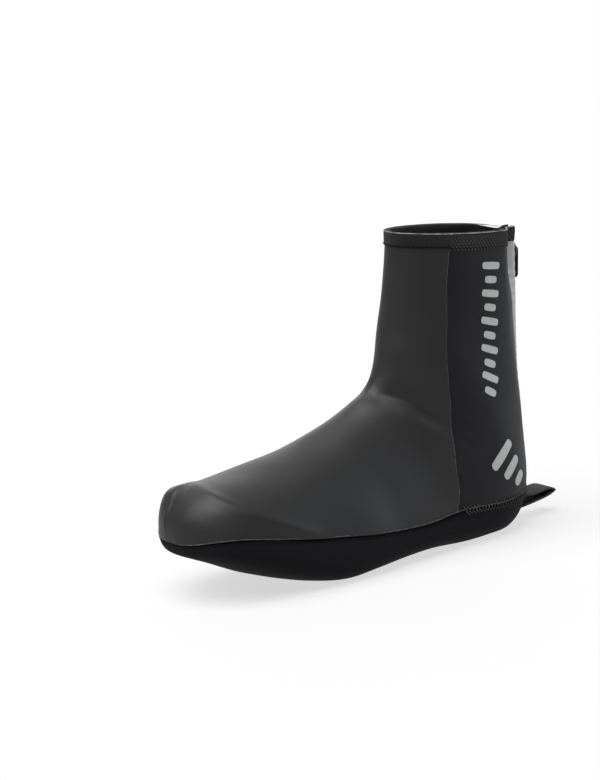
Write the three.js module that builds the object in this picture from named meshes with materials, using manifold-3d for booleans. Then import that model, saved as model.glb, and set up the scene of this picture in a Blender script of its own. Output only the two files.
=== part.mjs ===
import * as THREE from 'three';
import { mergeVertices } from 'three/addons/utils/BufferGeometryUtils.js';
import Module from 'manifold-3d';

// A left cycling overshoe: a stretch cover that is pulled over a cycling shoe and zipped up the back.
// Millimetres. The toe points to -Y, the outer side of the foot to +X, and +Z is up.

const wasm = await Module();
wasm.setup();

// Sizes of the whole form
const FORM_LENGTH = 303.5;
const BALL_WIDTH = 103;
const HEEL_WIDTH = 81;
const TOE_HEIGHT = 77;
const INSTEP_HEIGHT = 125;
const TOE_SPRING = 29.5;
const NOSE_LENGTH = 42;
const COLLAR_HEIGHT = 225;
const COLLAR_DROP = 14;
const COLLAR_DEPTH = 108;
const COLLAR_WIDTH = 50;
const SHAFT_LEAN = 5.5;
const FLOOR_CUT = 2.5;

// Where the sole fabric is sewn to the upper, above the floor
const TOE_EDGE = 46;
const HEEL_EDGE = 25;

// Fabrics and their clearances
const UPPER_WALL = 2.2;
const SOLE_WALL = 2.4;
const FRONT_PANEL_STEP = 0.5;
const SEAM_WIDTH = 1.2;
const GAP = 0.35;

// Openings in the sole for the cleat and the heel of the shoe
const CLEAT_LENGTH = 84;
const CLEAT_WIDTH = 58;
const CLEAT_CENTRE = 108;
const HEEL_HOLE_LENGTH = 44;
const HEEL_HOLE_WIDTH = 34;
const HEEL_HOLE_SETBACK = 62;
const HOLE_SQUARENESS = 2.5;

// Binding round the collar
const BINDING_HEIGHT = 8.5;
const BINDING_WALL = 0.9;

// Zip up the back
const ZIP_FOOT = 58;
const ZIP_SLOT = 7;
const COIL_WIDTH = 5.2;
const COIL_DEPTH = 2;
const COIL_SINK = 0.4;
const COIL_TOP_MARGIN = 3;
const TAPE_WIDTH = 12;
const TAPE_WALL = 0.8;
const STRIP_WIDTH = 5.5;
const STRIP_WALL = 0.7;

// Slider and its pull tab
const SLIDER_DROP = 16;
const SLIDER_WIDTH = 8.5;
const SLIDER_LENGTH = 11;
const SLIDER_WALL = 1.5;
const BAIL_HOLE = 2.6;
const BAIL_WALL = 1.2;
const BAIL_WIDTH = 1.6;
const TAB_WALL = 1.2;
const TAB_WIDTH = 6.4;
const TAB_LENGTH = 20;
const TAB_PLAY = 0.5;

// Webbing loop at the heel
const LOOP_WIDTH = 20;
const LOOP_WALL = 1.6;
const LOOP_REACH = 25;
const LOOP_RISE = 5;
const LOOP_TOP_ROOT = 18.5;
const LOOP_LOW_ROOT = 9.5;

// Path of the webbing between its two roots on the heel: out is a share of LOOP_REACH from the root of its
// leg, and up a share of LOOP_RISE above that root
const LOOP_PATH = [
  { leg: 'top', out: 0.35, up: 0.38 },
  { leg: 'top', out: 0.86, up: 0.58 },
  { leg: 'top', out: 1, up: 0.1 },
  { leg: 'top', out: 0.84, up: -0.5 },
  { leg: 'low', out: 0.5, up: 0.3 },
];

const COLOURS = {
  panel: 0x333436,
  sole: 0x1d1d1f,
  binding: 0x2a2a2c,
  strip: 0xa4a4a0,
  zip: 0x19191b,
  metal: 0x2b2b2d,
  webbing: 0x2c2c2e,
};

// Sections of the foot, from the toe to the instep. Each runs from a point on the top line to a point on
// the bottom line. along and under are shares of FORM_LENGTH; top goes from TOE_HEIGHT to INSTEP_HEIGHT;
// lift is a share of TOE_SPRING; heel goes from BALL_WIDTH to HEEL_WIDTH and outer and inner are shares of
// that width; widest is the share of the section's height at its widest place; crown and base are the
// squareness above and below it; outerEdge and innerEdge go from HEEL_EDGE to TOE_EDGE.
const FOOT_SECTIONS = [
  { along: 0, under: 0, top: -0.125, lift: 1, heel: 0, outer: 0.379, inner: 0.398, widest: 0.58, crown: 2.7,
    base: 2.5, outerEdge: 0.86, innerEdge: 0.86 },
  { along: 0.046, under: 0.046, top: -0.02, lift: 0.93, heel: 0, outer: 0.417, inner: 0.427, widest: 0.6,
    crown: 2.6, base: 2.6, outerEdge: 1.02, innerEdge: 0.95 },
  { along: 0.099, under: 0.099, top: 0, lift: 0.8, heel: 0, outer: 0.442, inner: 0.447, widest: 0.63,
    crown: 2.4, base: 2.8, outerEdge: 1.02, innerEdge: 0.95 },
  { along: 0.155, under: 0.155, top: 0.042, lift: 0.59, heel: 0, outer: 0.471, inner: 0.471, widest: 0.66,
    crown: 2.25, base: 3, outerEdge: 0.9, innerEdge: 0.9 },
  { along: 0.217, under: 0.221, top: 0.104, lift: 0.36, heel: 0, outer: 0.5, inner: 0.485, widest: 0.69,
    crown: 2.1, base: 3.2, outerEdge: 0.74, innerEdge: 0.86 },
  { along: 0.283, under: 0.297, top: 0.188, lift: 0.15, heel: 0, outer: 0.519, inner: 0.481, widest: 0.72,
    crown: 2, base: 3.4, outerEdge: 0.57, innerEdge: 0.76 },
  { along: 0.356, under: 0.382, top: 0.292, lift: 0, heel: 0, outer: 0.519, inner: 0.456, widest: 0.75,
    crown: 1.95, base: 3.6, outerEdge: 0.4, innerEdge: 0.67 },
  { along: 0.425, under: 0.474, top: 0.417, lift: 0, heel: 0.35, outer: 0.535, inner: 0.462, widest: 0.77,
    crown: 1.9, base: 3.4, outerEdge: 0.21, innerEdge: 0.52 },
  { along: 0.481, under: 0.567, top: 0.542, lift: 0, heel: 0.7, outer: 0.531, inner: 0.479, widest: 0.77,
    crown: 1.9, base: 3.3, outerEdge: 0.07, innerEdge: 0.38 },
  { along: 0.53, under: 0.659, top: 0.677, lift: 0, heel: 0.9, outer: 0.523, inner: 0.493, widest: 0.76,
    crown: 1.9, base: 3.2, outerEdge: 0.02, innerEdge: 0.29 },
  { along: 0.57, under: 0.751, top: 0.833, lift: 0, heel: 1, outer: 0.512, inner: 0.5, widest: 0.73,
    crown: 1.9, base: 3.1, outerEdge: 0.12, innerEdge: 0.24 },
  { along: 0.596, under: 0.837, top: 1, lift: 0, heel: 1, outer: 0.5, inner: 0.5, widest: 0.68,
    crown: 1.95, base: 3, outerEdge: 0.1, innerEdge: 0.14 },
];

// Sections of the heel and shaft, from the instep to the collar. front and rise go from the instep to the
// front of the collar; back is a share of FORM_LENGTH and lean of SHAFT_LEAN; height goes from the floor cut
// to the back of the collar; narrow goes from HEEL_WIDTH to COLLAR_WIDTH; seam is the angle of the side
// seam, counted from the front.
const SHAFT_SECTIONS = [
  { front: 0.225, rise: 0.09, back: 0.913, lean: 0, height: 0.004, narrow: 0.05, widest: 0.62, crown: 2,
    base: 2.6, seam: 65 },
  { front: 0.375, rise: 0.2, back: 0.969, lean: 0, height: 0.052, narrow: 0.13, widest: 0.57, crown: 2,
    base: 2.25, seam: 61.5 },
  { front: 0.5, rise: 0.32, back: 0.995, lean: 0, height: 0.15, narrow: 0.24, widest: 0.53, crown: 2,
    base: 2.1, seam: 60 },
  { front: 0.625, rise: 0.46, back: 1, lean: 0, height: 0.3, narrow: 0.42, widest: 0.5, crown: 2,
    base: 2, seam: 61 },
  { front: 0.75, rise: 0.625, back: 1, lean: -0.1, height: 0.488, narrow: 0.645, widest: 0.5, crown: 2,
    base: 2, seam: 64 },
  { front: 0.875, rise: 0.81, back: 1, lean: 0.27, height: 0.732, narrow: 0.87, widest: 0.5, crown: 2,
    base: 2, seam: 66 },
  { front: 1, rise: 1, back: 1, lean: 1, height: 1, narrow: 1, widest: 0.5, crown: 2,
    base: 2, seam: 69.5 },
];

const SEAM_START = FOOT_SECTIONS.length - 2;
const INSTEP_SEAM_ANGLE = 74;
const NOSE_PLAN = 2.2;
const NOSE_SIDE = 3.2;

// Resolution of the faceted surfaces
const NOSE_STEPS = 7;
const HEEL_STEPS = 7;
const FRONT_COLUMNS = 7;
const REAR_COLUMNS = 6;
const SOLE_COLUMNS = 8;
const HOLE_COLUMNS = 28;
const LOOP_STEPS = 22;
const PLATE_SEGMENTS = 6;
const BAIL_SEGMENTS = 8;
const ARC_SAMPLES = 40;
const SOLVE_STEPS = 50;
const BEND_LENGTH = 15;
const TURN_LENGTH = 30;
const SAME_ROW = 0.06;
const PROBE = 0.01;
const MERGE_DISTANCE = 0.0005;
const TINY = 1e-6;

const between = (from, to, share) => from + (to - from) * share;

// Sections in millimetres
const collarBack = FORM_LENGTH + SHAFT_LEAN;
const collarFront = collarBack - COLLAR_DEPTH;
const collarBackHeight = COLLAR_HEIGHT - COLLAR_DROP;
const instep = FOOT_SECTIONS[FOOT_SECTIONS.length - 1];
const instepFront = instep.along * FORM_LENGTH;

const footRows = FOOT_SECTIONS.map((row) => {
  const width = between(BALL_WIDTH, HEEL_WIDTH, row.heel);
  return {
    topY: row.along * FORM_LENGTH,
    topZ: between(TOE_HEIGHT, INSTEP_HEIGHT, row.top),
    lowY: row.under * FORM_LENGTH,
    lowZ: row.lift * TOE_SPRING - FLOOR_CUT,
    outer: row.outer * width,
    inner: row.inner * width,
    widest: row.widest,
    crown: row.crown,
    base: row.base,
    outerEdge: between(HEEL_EDGE, TOE_EDGE, row.outerEdge),
    innerEdge: between(HEEL_EDGE, TOE_EDGE, row.innerEdge),
  };
});

const shaftRows = SHAFT_SECTIONS.map((row) => {
  const width = between(HEEL_WIDTH, COLLAR_WIDTH, row.narrow);
  return {
    topY: between(instepFront, collarFront, row.front),
    topZ: between(INSTEP_HEIGHT, COLLAR_HEIGHT, row.rise),
    lowY: row.back * FORM_LENGTH + row.lean * SHAFT_LEAN,
    lowZ: between(-FLOOR_CUT, collarBackHeight, row.height),
    outer: width / 2,
    inner: width / 2,
    widest: row.widest,
    crown: row.crown,
    base: row.base,
    outerEdge: HEEL_EDGE,
    innerEdge: HEEL_EDGE,
  };
});

const ROWS = [...footRows, ...shaftRows];
const COLLAR = ROWS.length - 1;
const TIP_HEIGHT = ROWS[0].outerEdge;

// Smooth value between rows, through every row
function smooth(values, s) {
  const last = values.length - 1;
  const i = Math.min(Math.max(Math.floor(s), 0), last - 1);
  const t = s - i;
  const b = values[i];
  const c = values[i + 1];
  const a = i > 0 ? values[i - 1] : 2 * b - c;
  const d = i + 2 <= last ? values[i + 2] : 2 * c - b;
  return b + 0.5 * t * (c - a + t * (2 * a - 5 * b + 4 * c - d + t * (3 * (b - c) + d - a)));
}

const COLUMNS = Object.fromEntries(Object.keys(ROWS[0]).map((key) => [key, ROWS.map((row) => row[key])]));
const at = (key, s) => smooth(COLUMNS[key], s);

// How far the nose has opened at share q of its length
const nose = (q, squareness) => (1 - (1 - Math.min(Math.max(q, 0), 1)) ** squareness) ** (1 / squareness);

// One section at row position s
function section(s) {
  const q = at('topY', s) / NOSE_LENGTH;
  const wide = nose(q, NOSE_PLAN);
  const tall = nose(q, NOSE_SIDE);
  return {
    topY: at('topY', s),
    lowY: at('lowY', s),
    topZ: between(TIP_HEIGHT, at('topZ', s), tall),
    lowZ: between(TIP_HEIGHT, at('lowZ', s), tall),
    outer: at('outer', s) * wide,
    inner: at('inner', s) * wide,
    widest: at('widest', s),
    crown: at('crown', s),
    base: at('base', s),
  };
}

// Point on the form: angle 0 is the top or front line, PI the bottom or back line, and positive angles
// are on the outer side. The floor cuts the bottom flat.
function point(s, angle) {
  const cut = section(s);
  const up = Math.cos(angle) >= 0;
  const square = up ? cut.crown : cut.base;
  const high = Math.abs(Math.cos(angle)) ** (2 / square);
  const side = Math.abs(Math.sin(angle)) ** (2 / square);
  const down = up ? cut.widest * (1 - high) : cut.widest + (1 - cut.widest) * high;
  const x = Math.sin(angle) >= 0 ? cut.outer * side : -cut.inner * side;
  const y = between(cut.topY, cut.lowY, down);
  const z = Math.max(between(cut.topZ, cut.lowZ, down), 0);
  return new THREE.Vector3(x, y, z);
}

// Direction out of the form at a point on it
function normal(s, angle) {
  if (s < TINY) return new THREE.Vector3(0, -1, 0);
  const ds = Math.min(PROBE, s / 2);
  const back = point(s - ds, angle);
  const ahead = point(Math.min(s + ds, COLLAR), angle);
  const along = ahead.sub(back);
  const round = point(s, angle + PROBE).sub(point(s, angle - PROBE));
  return along.cross(round).normalize().negate();
}

// Angle of the sole's edge on one side, PI where the whole section is above it
function edgeAngle(s, key) {
  const down = (at('topZ', s) - at(key, s)) / (at('topZ', s) - at('lowZ', s));
  const widest = at('widest', s);
  if (down >= 1) return Math.PI;
  if (down <= widest) return Math.acos((1 - down / widest) ** (at('crown', s) / 2));
  return Math.PI - Math.acos(((down - widest) / (1 - widest)) ** (at('base', s) / 2));
}

// Angle at distance x from the middle of the back
function backAngle(s, x) {
  return Math.PI - Math.asin(Math.min(x / at('outer', s), 1) ** (at('base', s) / 2));
}

// Row position at which a rising measure reaches a value
function solve(measure, value, from, to) {
  let low = from;
  let high = to;
  for (let i = 0; i < SOLVE_STEPS; i += 1) {
    const middle = (low + high) / 2;
    if (measure(middle) < value) low = middle;
    else high = middle;
  }
  return (low + high) / 2;
}

const backHeight = (s) => point(s, Math.PI).z;
const heelRow = solve(backHeight, HEEL_EDGE, SEAM_START, COLLAR);
const zipRow = solve(backHeight, ZIP_FOOT, SEAM_START, COLLAR);
const sliderRow = solve(backHeight, collarBackHeight - SLIDER_DROP, SEAM_START, COLLAR);

// Angle of the side seam; it starts where it meets the sole's edge
const seamAngles = { outerEdge: [], innerEdge: [] };
for (const key of Object.keys(seamAngles)) {
  seamAngles[key] = ROWS.map((row, i) => {
    if (i <= SEAM_START) return edgeAngle(i, key);
    if (i < FOOT_SECTIONS.length) return THREE.MathUtils.degToRad(INSTEP_SEAM_ANGLE);
    return THREE.MathUtils.degToRad(SHAFT_SECTIONS[i - FOOT_SECTIONS.length].seam);
  });
}

// Border of the upper on one side: the sole's edge, then the closed heel, then the zip's slot
function borderAngle(s, key) {
  if (s < heelRow - TINY) return edgeAngle(s, key);
  if (s < zipRow + SAME_ROW) return Math.PI;
  return backAngle(s, ZIP_SLOT / 2);
}

function seamAngle(s, key) {
  if (s <= SEAM_START) return borderAngle(s, key);
  return Math.min(smooth(seamAngles[key], s), borderAngle(s, key));
}

// Angles from one to another that are evenly spaced along the section, and closer where it bends: a bend of
// one radian counts as BEND_LENGTH
function evenAngles(s, from, to, count) {
  const lengths = [0];
  let before = point(s, from);
  let heading = null;
  for (let i = 1; i <= ARC_SAMPLES; i += 1) {
    const here = point(s, between(from, to, i / ARC_SAMPLES));
    const chord = here.clone().sub(before);
    const turn = heading && chord.length() > TINY ? heading.angleTo(chord) : 0;
    lengths.push(lengths[i - 1] + chord.length() + turn * BEND_LENGTH);
    if (chord.length() > TINY) heading = chord;
    before = here;
  }
  const total = lengths[ARC_SAMPLES];
  const angles = [from];
  for (let k = 1; k < count; k += 1) {
    const want = (total * k) / count;
    let i = 1;
    while (i < ARC_SAMPLES && lengths[i] < want) i += 1;
    const share = total > TINY ? (want - lengths[i - 1]) / (lengths[i] - lengths[i - 1]) : k / count;
    angles.push(between(from, to, total > TINY ? (i - 1 + share) / ARC_SAMPLES : share));
  }
  angles.push(to);
  return angles;
}

// Row positions: close together round the nose and where the sole's edges meet at the heel
function rowPositions() {
  const rows = [0];
  for (let k = 1; k < NOSE_STEPS; k += 1) {
    const reach = NOSE_LENGTH * (1 - Math.cos((k / NOSE_STEPS) * (Math.PI / 2)));
    rows.push(solve((s) => at('topY', s), reach, 0, SEAM_START));
  }
  const heelStart = FOOT_SECTIONS.length;
  for (let s = 3; s < heelStart; s += 0.5) rows.push(s);
  for (let k = HEEL_STEPS; k > 0; k -= 1) rows.push(between(heelRow, heelStart, (k / HEEL_STEPS) ** 2));
  for (let s = heelRow + 0.25; s < COLLAR; s += 0.25) rows.push(s);
  const special = [heelRow, zipRow, zipRow + SAME_ROW, COLLAR];
  const kept = rows.filter((s) => special.every((own) => Math.abs(s - own) > SAME_ROW / 4));
  return [...kept, ...special].sort((a, b) => a - b);
}

// Closed wall over a grid of row positions and angles, between two distances from the form
function wall(grid, outside, inside) {
  const sides = [outside, inside].map((offset) => grid.map((row, i) => row.map(({ s, angle }, j) => {
    const distance = typeof offset === 'function' ? offset(i, j) : offset;
    return point(s, angle).addScaledVector(normal(s, angle), distance);
  })));
  return closedSheet(sides[0], sides[1]);
}

// Closed body between two grids of points, with rims along their borders
function closedSheet(outer, inner) {
  const positions = [];
  const face = (a, b, c) => positions.push(...a.toArray(), ...b.toArray(), ...c.toArray());
  const quad = (a, b, c, d) => {
    face(a, b, c);
    face(a, c, d);
  };
  const lastRow = outer.length - 1;
  const lastColumn = outer[0].length - 1;
  const joined = outer.map((row) => row[0].distanceTo(row[lastColumn]) < 2 * MERGE_DISTANCE);
  for (let i = 0; i < lastRow; i += 1) {
    for (let j = 0; j < lastColumn; j += 1) {
      quad(outer[i][j], outer[i][j + 1], outer[i + 1][j + 1], outer[i + 1][j]);
      quad(inner[i][j], inner[i + 1][j], inner[i + 1][j + 1], inner[i][j + 1]);
    }
    if (joined[i] && joined[i + 1]) continue;
    quad(outer[i][0], outer[i + 1][0], inner[i + 1][0], inner[i][0]);
    quad(outer[i][lastColumn], inner[i][lastColumn], inner[i + 1][lastColumn], outer[i + 1][lastColumn]);
  }
  for (let j = 0; j < lastColumn; j += 1) {
    quad(outer[0][j], inner[0][j], inner[0][j + 1], outer[0][j + 1]);
    quad(outer[lastRow][j], outer[lastRow][j + 1], inner[lastRow][j + 1], inner[lastRow][j]);
  }
  return outward(positions);
}

// Indexed geometry without empty faces, with its faces pointing out
function outward(positions) {
  const loose = new THREE.BufferGeometry();
  loose.setAttribute('position', new THREE.Float32BufferAttribute(positions, 3));
  const merged = mergeVertices(loose, MERGE_DISTANCE);
  const index = merged.index.array;
  const place = merged.attributes.position;
  const corner = (i) => new THREE.Vector3().fromBufferAttribute(place, i);
  const kept = [];
  let volume = 0;
  for (let i = 0; i < index.length; i += 3) {
    const [a, b, c] = [index[i], index[i + 1], index[i + 2]];
    if (a === b || b === c || c === a) continue;
    kept.push(a, b, c);
    volume += corner(a).dot(corner(b).cross(corner(c)));
  }
  if (volume < 0) kept.reverse();
  merged.setIndex(kept);
  return merged;
}

// Solids for cutting and joining
function toSolid(geometry) {
  const bare = geometry.clone();
  bare.deleteAttribute('normal');
  bare.deleteAttribute('uv');
  const merged = mergeVertices(bare, MERGE_DISTANCE);
  return new wasm.Manifold(new wasm.Mesh({
    numProp: 3,
    vertProperties: new Float32Array(merged.attributes.position.array),
    triVerts: new Uint32Array(merged.index.array),
  }));
}

function fromSolid(solid) {
  const mesh = solid.getMesh();
  const geometry = new THREE.BufferGeometry();
  geometry.setAttribute('position', new THREE.BufferAttribute(new Float32Array(mesh.vertProperties), 3));
  geometry.setIndex(new THREE.BufferAttribute(new Uint32Array(mesh.triVerts), 1));
  return geometry;
}

function named(name, geometry, colour, roughness, metalness = 0) {
  const material = new THREE.MeshStandardMaterial({ color: colour, roughness, metalness });
  const mesh = new THREE.Mesh(geometry, material);
  mesh.name = name;
  return mesh;
}

const overshoe = new THREE.Group();
const rows = rowPositions();

// Distances from the middle of the back where the zip's tape and strip have their lines
const stripNear = ZIP_SLOT / 2 + GAP;
const stripFar = stripNear + STRIP_WIDTH;
const stripLines = [stripNear, (stripNear + stripFar) / 2, stripFar];
const backLines = [Math.max(TAPE_WIDTH, stripFar + GAP), stripFar, stripLines[1]];

// Angle at a distance along the section before one end
function angleBefore(s, from, to, distance) {
  let walked = 0;
  let before = point(s, to);
  for (let i = 1; i <= ARC_SAMPLES; i += 1) {
    const here = point(s, between(to, from, i / ARC_SAMPLES));
    const stride = here.distanceTo(before);
    if (walked + stride >= distance) {
      const steps = i - 1 + (distance - walked) / stride;
      return between(to, from, steps / ARC_SAMPLES);
    }
    walked += stride;
    before = here;
  }
  return from;
}

// Length of the section between two angles
function sectionLength(s, from, to) {
  let total = 0;
  for (let i = 1; i <= ARC_SAMPLES; i += 1) {
    const before = point(s, between(from, to, (i - 1) / ARC_SAMPLES));
    total += point(s, between(from, to, i / ARC_SAMPLES)).distanceTo(before);
  }
  return total;
}

// Angles of a rear panel, from the side seam to the border: the last columns follow the zip, then turn along
// the sole's edge, which starts the length hidden away from the middle of the back
function rearAngles(s, from, border) {
  const width = sectionLength(s, from, border);
  const hidden = sectionLength(s, border, Math.PI);
  const narrowed = Math.min(1, width / (3 * backLines[0]));
  const beside = (x) => Math.hypot(x, hidden) - hidden + (x * hidden) / (hidden + TURN_LENGTH);
  const lines = s < zipRow - TINY
    ? backLines.map((x) => (width > TINY ? angleBefore(s, from, border, beside(x) * narrowed) : border))
    : backLines.map((x) => backAngle(s, x));
  const wide = evenAngles(s, from, lines[0], REAR_COLUMNS - lines.length);
  return [...wide, ...lines.slice(1), border];
}

// Upper: front panel and two rear panels in one hollow wall, the front panel a step proud
const FRONT_SIDE = REAR_COLUMNS + 1;
const UPPER_COLUMNS = 2 * (REAR_COLUMNS + 1 + FRONT_COLUMNS);

function upperAngles(s) {
  const half = (key) => {
    const border = borderAngle(s, key);
    const seam = seamAngle(s, key);
    const speed = point(s, seam + PROBE).distanceTo(point(s, seam - PROBE)) / (2 * PROBE);
    const step = speed > TINY ? SEAM_WIDTH / speed : 0;
    const rear = Math.min(seam + step, border);
    return [...evenAngles(s, 0, seam, FRONT_COLUMNS), ...rearAngles(s, rear, border)];
  };
  const inner = half('innerEdge').map((angle) => -angle).reverse();
  return [...inner, ...half('outerEdge').slice(1)];
}

const inFront = (j) => j >= FRONT_SIDE && j <= UPPER_COLUMNS - FRONT_SIDE;
const upperGrid = rows.map((s) => upperAngles(s).map((angle) => ({ s, angle })));
const upperOutside = (i, j) => (rows[i] > TINY && inFront(j) ? FRONT_PANEL_STEP : 0);
const upper = named('upper', wall(upperGrid, upperOutside, -UPPER_WALL), COLOURS.panel, 0.55);
upper.position.z = GAP;
overshoe.add(upper);

// Sole: the fabric under the foot, up to its edge, with the cleat and heel openings cut through
const soleRows = rows.filter((s) => s <= heelRow + TINY);
const soleGrid = soleRows.map((s) => {
  const outer = s < heelRow - TINY ? edgeAngle(s, 'outerEdge') : Math.PI;
  const inner = s < heelRow - TINY ? edgeAngle(s, 'innerEdge') : Math.PI;
  const first = evenAngles(s, outer, Math.PI, SOLE_COLUMNS);
  const second = evenAngles(s, Math.PI, 2 * Math.PI - inner, SOLE_COLUMNS).slice(1);
  return [...first, ...second].map((angle) => ({ s, angle }));
});

function soleHole(length, width, centre) {
  const outline = new THREE.Shape();
  const rounded = (value) => Math.sign(value) * Math.abs(value) ** (2 / HOLE_SQUARENESS);
  for (let k = 0; k < HOLE_COLUMNS; k += 1) {
    const turn = (2 * Math.PI * k) / HOLE_COLUMNS;
    const x = (width / 2) * rounded(Math.cos(turn));
    const y = (length / 2) * rounded(Math.sin(turn));
    if (k === 0) outline.moveTo(x, y + centre);
    else outline.lineTo(x, y + centre);
  }
  const depth = 2 * (SOLE_WALL + TOE_SPRING);
  const prism = new THREE.ExtrudeGeometry(outline, { depth, bevelEnabled: false });
  prism.translate(0, 0, -depth / 2);
  return toSolid(prism);
}

const soleSolid = toSolid(wall(soleGrid, 0, -SOLE_WALL))
  .subtract(soleHole(CLEAT_LENGTH, CLEAT_WIDTH, CLEAT_CENTRE))
  .subtract(soleHole(HEEL_HOLE_LENGTH, HEEL_HOLE_WIDTH, FORM_LENGTH - HEEL_HOLE_SETBACK));
overshoe.add(named('sole', fromSolid(soleSolid), COLOURS.sole, 0.9));

// Row position a distance below the collar along the wall
function below(angle, distance) {
  const speed = point(COLLAR, angle).distanceTo(point(COLLAR - SAME_ROW, angle)) / SAME_ROW;
  return COLLAR - distance / speed;
}

// Binding: a folded band over the collar's rim, from one side of the zip to the other
const rimAngles = upperAngles(COLLAR);
const rimUp = (angle) => point(COLLAR, angle).sub(point(COLLAR - SAME_ROW, angle)).normalize();

function bindingLeg(angle, distance, rise) {
  const low = below(angle, BINDING_HEIGHT);
  const foot = point(low, angle).addScaledVector(normal(low, angle), distance);
  const top = point(COLLAR, angle).addScaledVector(normal(COLLAR, angle), distance);
  top.addScaledVector(rimUp(angle), rise);
  return [foot, top];
}

function bindingGeometry() {
  const outer = [];
  const inner = [];
  rimAngles.forEach((angle, j) => {
    const proud = (inFront(j) ? FRONT_PANEL_STEP : 0) + GAP;
    const sunk = -UPPER_WALL - GAP;
    const outside = bindingLeg(angle, proud + BINDING_WALL, GAP + BINDING_WALL);
    const outsideInner = bindingLeg(angle, proud, GAP);
    const insideOuter = bindingLeg(angle, sunk, GAP);
    const inside = bindingLeg(angle, sunk - BINDING_WALL, GAP + BINDING_WALL);
    outer.push([outside[0], outside[1], inside[1], inside[0]]);
    inner.push([outsideInner[0], outsideInner[1], insideOuter[1], insideOuter[0]]);
  });
  return closedSheet(outer, inner);
}

const binding = named('collar_binding', bindingGeometry(), COLOURS.binding, 0.8);
binding.position.z = GAP;
overshoe.add(binding);

// A band up the back between two distances from the middle, over a range of rows
function backBand(from, to, lines, outside, inside) {
  const inRange = rows.filter((s) => s > from + SAME_ROW && s < to - SAME_ROW);
  const grid = [from, ...inRange, to].map((s) => lines.map((x) => {
    const angle = x >= 0 ? backAngle(s, x) : 2 * Math.PI - backAngle(s, -x);
    return { s, angle };
  }));
  return wall(grid, outside, inside);
}

// Zip: coil in the slot, a tape behind each edge of the slot and a bright strip outside it
const zipTop = below(Math.PI, BINDING_HEIGHT + GAP);
const coilTop = below(Math.PI, COIL_TOP_MARGIN);
const zipStart = zipRow + SAME_ROW;
const halfCoil = COIL_WIDTH / 2;
const coilLines = [-halfCoil, -halfCoil / 2, 0, halfCoil / 2, halfCoil];
const zipFloor = -COIL_SINK - COIL_DEPTH;
const coilBody = backBand(zipStart, coilTop, coilLines, -COIL_SINK, zipFloor);
const coil = named('zip_coil', coilBody, COLOURS.zip, 0.6);
coil.position.z = GAP;
overshoe.add(coil);

const tapeOutside = Math.min(zipFloor, -UPPER_WALL) - GAP;

for (const [side, sign] of [['outer', 1], ['inner', -1]]) {
  const tapeLines = [GAP, ZIP_SLOT / 2, stripLines[1], stripFar, TAPE_WIDTH].map((x) => sign * x);
  const tapeBody = backBand(zipStart, zipTop, tapeLines, tapeOutside, tapeOutside - TAPE_WALL);
  const tape = named(`zip_tape_${side}`, tapeBody, COLOURS.zip, 0.85);
  tape.position.z = GAP;
  const ownLines = stripLines.map((x) => sign * x);
  const stripBody = backBand(zipStart, zipTop, ownLines, GAP + STRIP_WALL, GAP);
  const strip = named(`reflective_strip_${side}`, stripBody, COLOURS.strip, 0.45);
  strip.position.z = GAP;
  overshoe.add(tape, strip);
}

// Slider: a plate over the coil with a bail, which holds the pull tab
const sliderPlace = point(sliderRow, Math.PI);
const sliderOut = normal(sliderRow, Math.PI);
const slider = new THREE.Group();
slider.position.copy(sliderPlace);
slider.position.z += GAP;
slider.rotation.x = Math.atan2(sliderOut.z, sliderOut.y);
overshoe.add(slider);

// Flat plate across the zip: its outline lies in X and Z, its thickness in Y
function plate(outline, thickness) {
  const settings = { depth: thickness, bevelEnabled: false, curveSegments: PLATE_SEGMENTS };
  return new THREE.ExtrudeGeometry(outline, settings).rotateX(-Math.PI / 2);
}

const plateFloor = GAP;
const hingeOut = plateFloor + SLIDER_WALL + BAIL_HOLE / 2;
const bailRadius = BAIL_HOLE / 2 + BAIL_WALL;
const root = BAIL_HOLE / 2 + SLIDER_WALL / 2;

const plateOutline = new THREE.Shape();
plateOutline.absellipse(0, 0, SLIDER_WIDTH / 2, SLIDER_LENGTH / 2, 0, 2 * Math.PI);
const sliderPlate = plate(plateOutline, SLIDER_WALL).translate(0, plateFloor, 0);

const bailOutline = new THREE.Shape();
bailOutline.moveTo(bailRadius, -root);
bailOutline.lineTo(bailRadius, 0);
bailOutline.absarc(0, 0, bailRadius, 0, Math.PI);
bailOutline.lineTo(-bailRadius, -root);
bailOutline.lineTo(-BAIL_HOLE / 2, -root);
bailOutline.lineTo(-BAIL_HOLE / 2, 0);
bailOutline.absarc(0, 0, BAIL_HOLE / 2, Math.PI, 0, true);
bailOutline.lineTo(BAIL_HOLE / 2, -root);
const bailSettings = { depth: BAIL_WIDTH, bevelEnabled: false, curveSegments: BAIL_SEGMENTS };
const bail = new THREE.ExtrudeGeometry(bailOutline, bailSettings);
const acrossZip = new THREE.Matrix4().makeBasis(
  new THREE.Vector3(0, 0, 1),
  new THREE.Vector3(0, 1, 0),
  new THREE.Vector3(-1, 0, 0),
);
bail.applyMatrix4(acrossZip).translate(BAIL_WIDTH / 2, hingeOut, 0);
const sliderBody = fromSolid(toSolid(sliderPlate).add(toSolid(bail)));
slider.add(named('zip_slider', sliderBody, COLOURS.metal, 0.35, 0.8));

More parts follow.
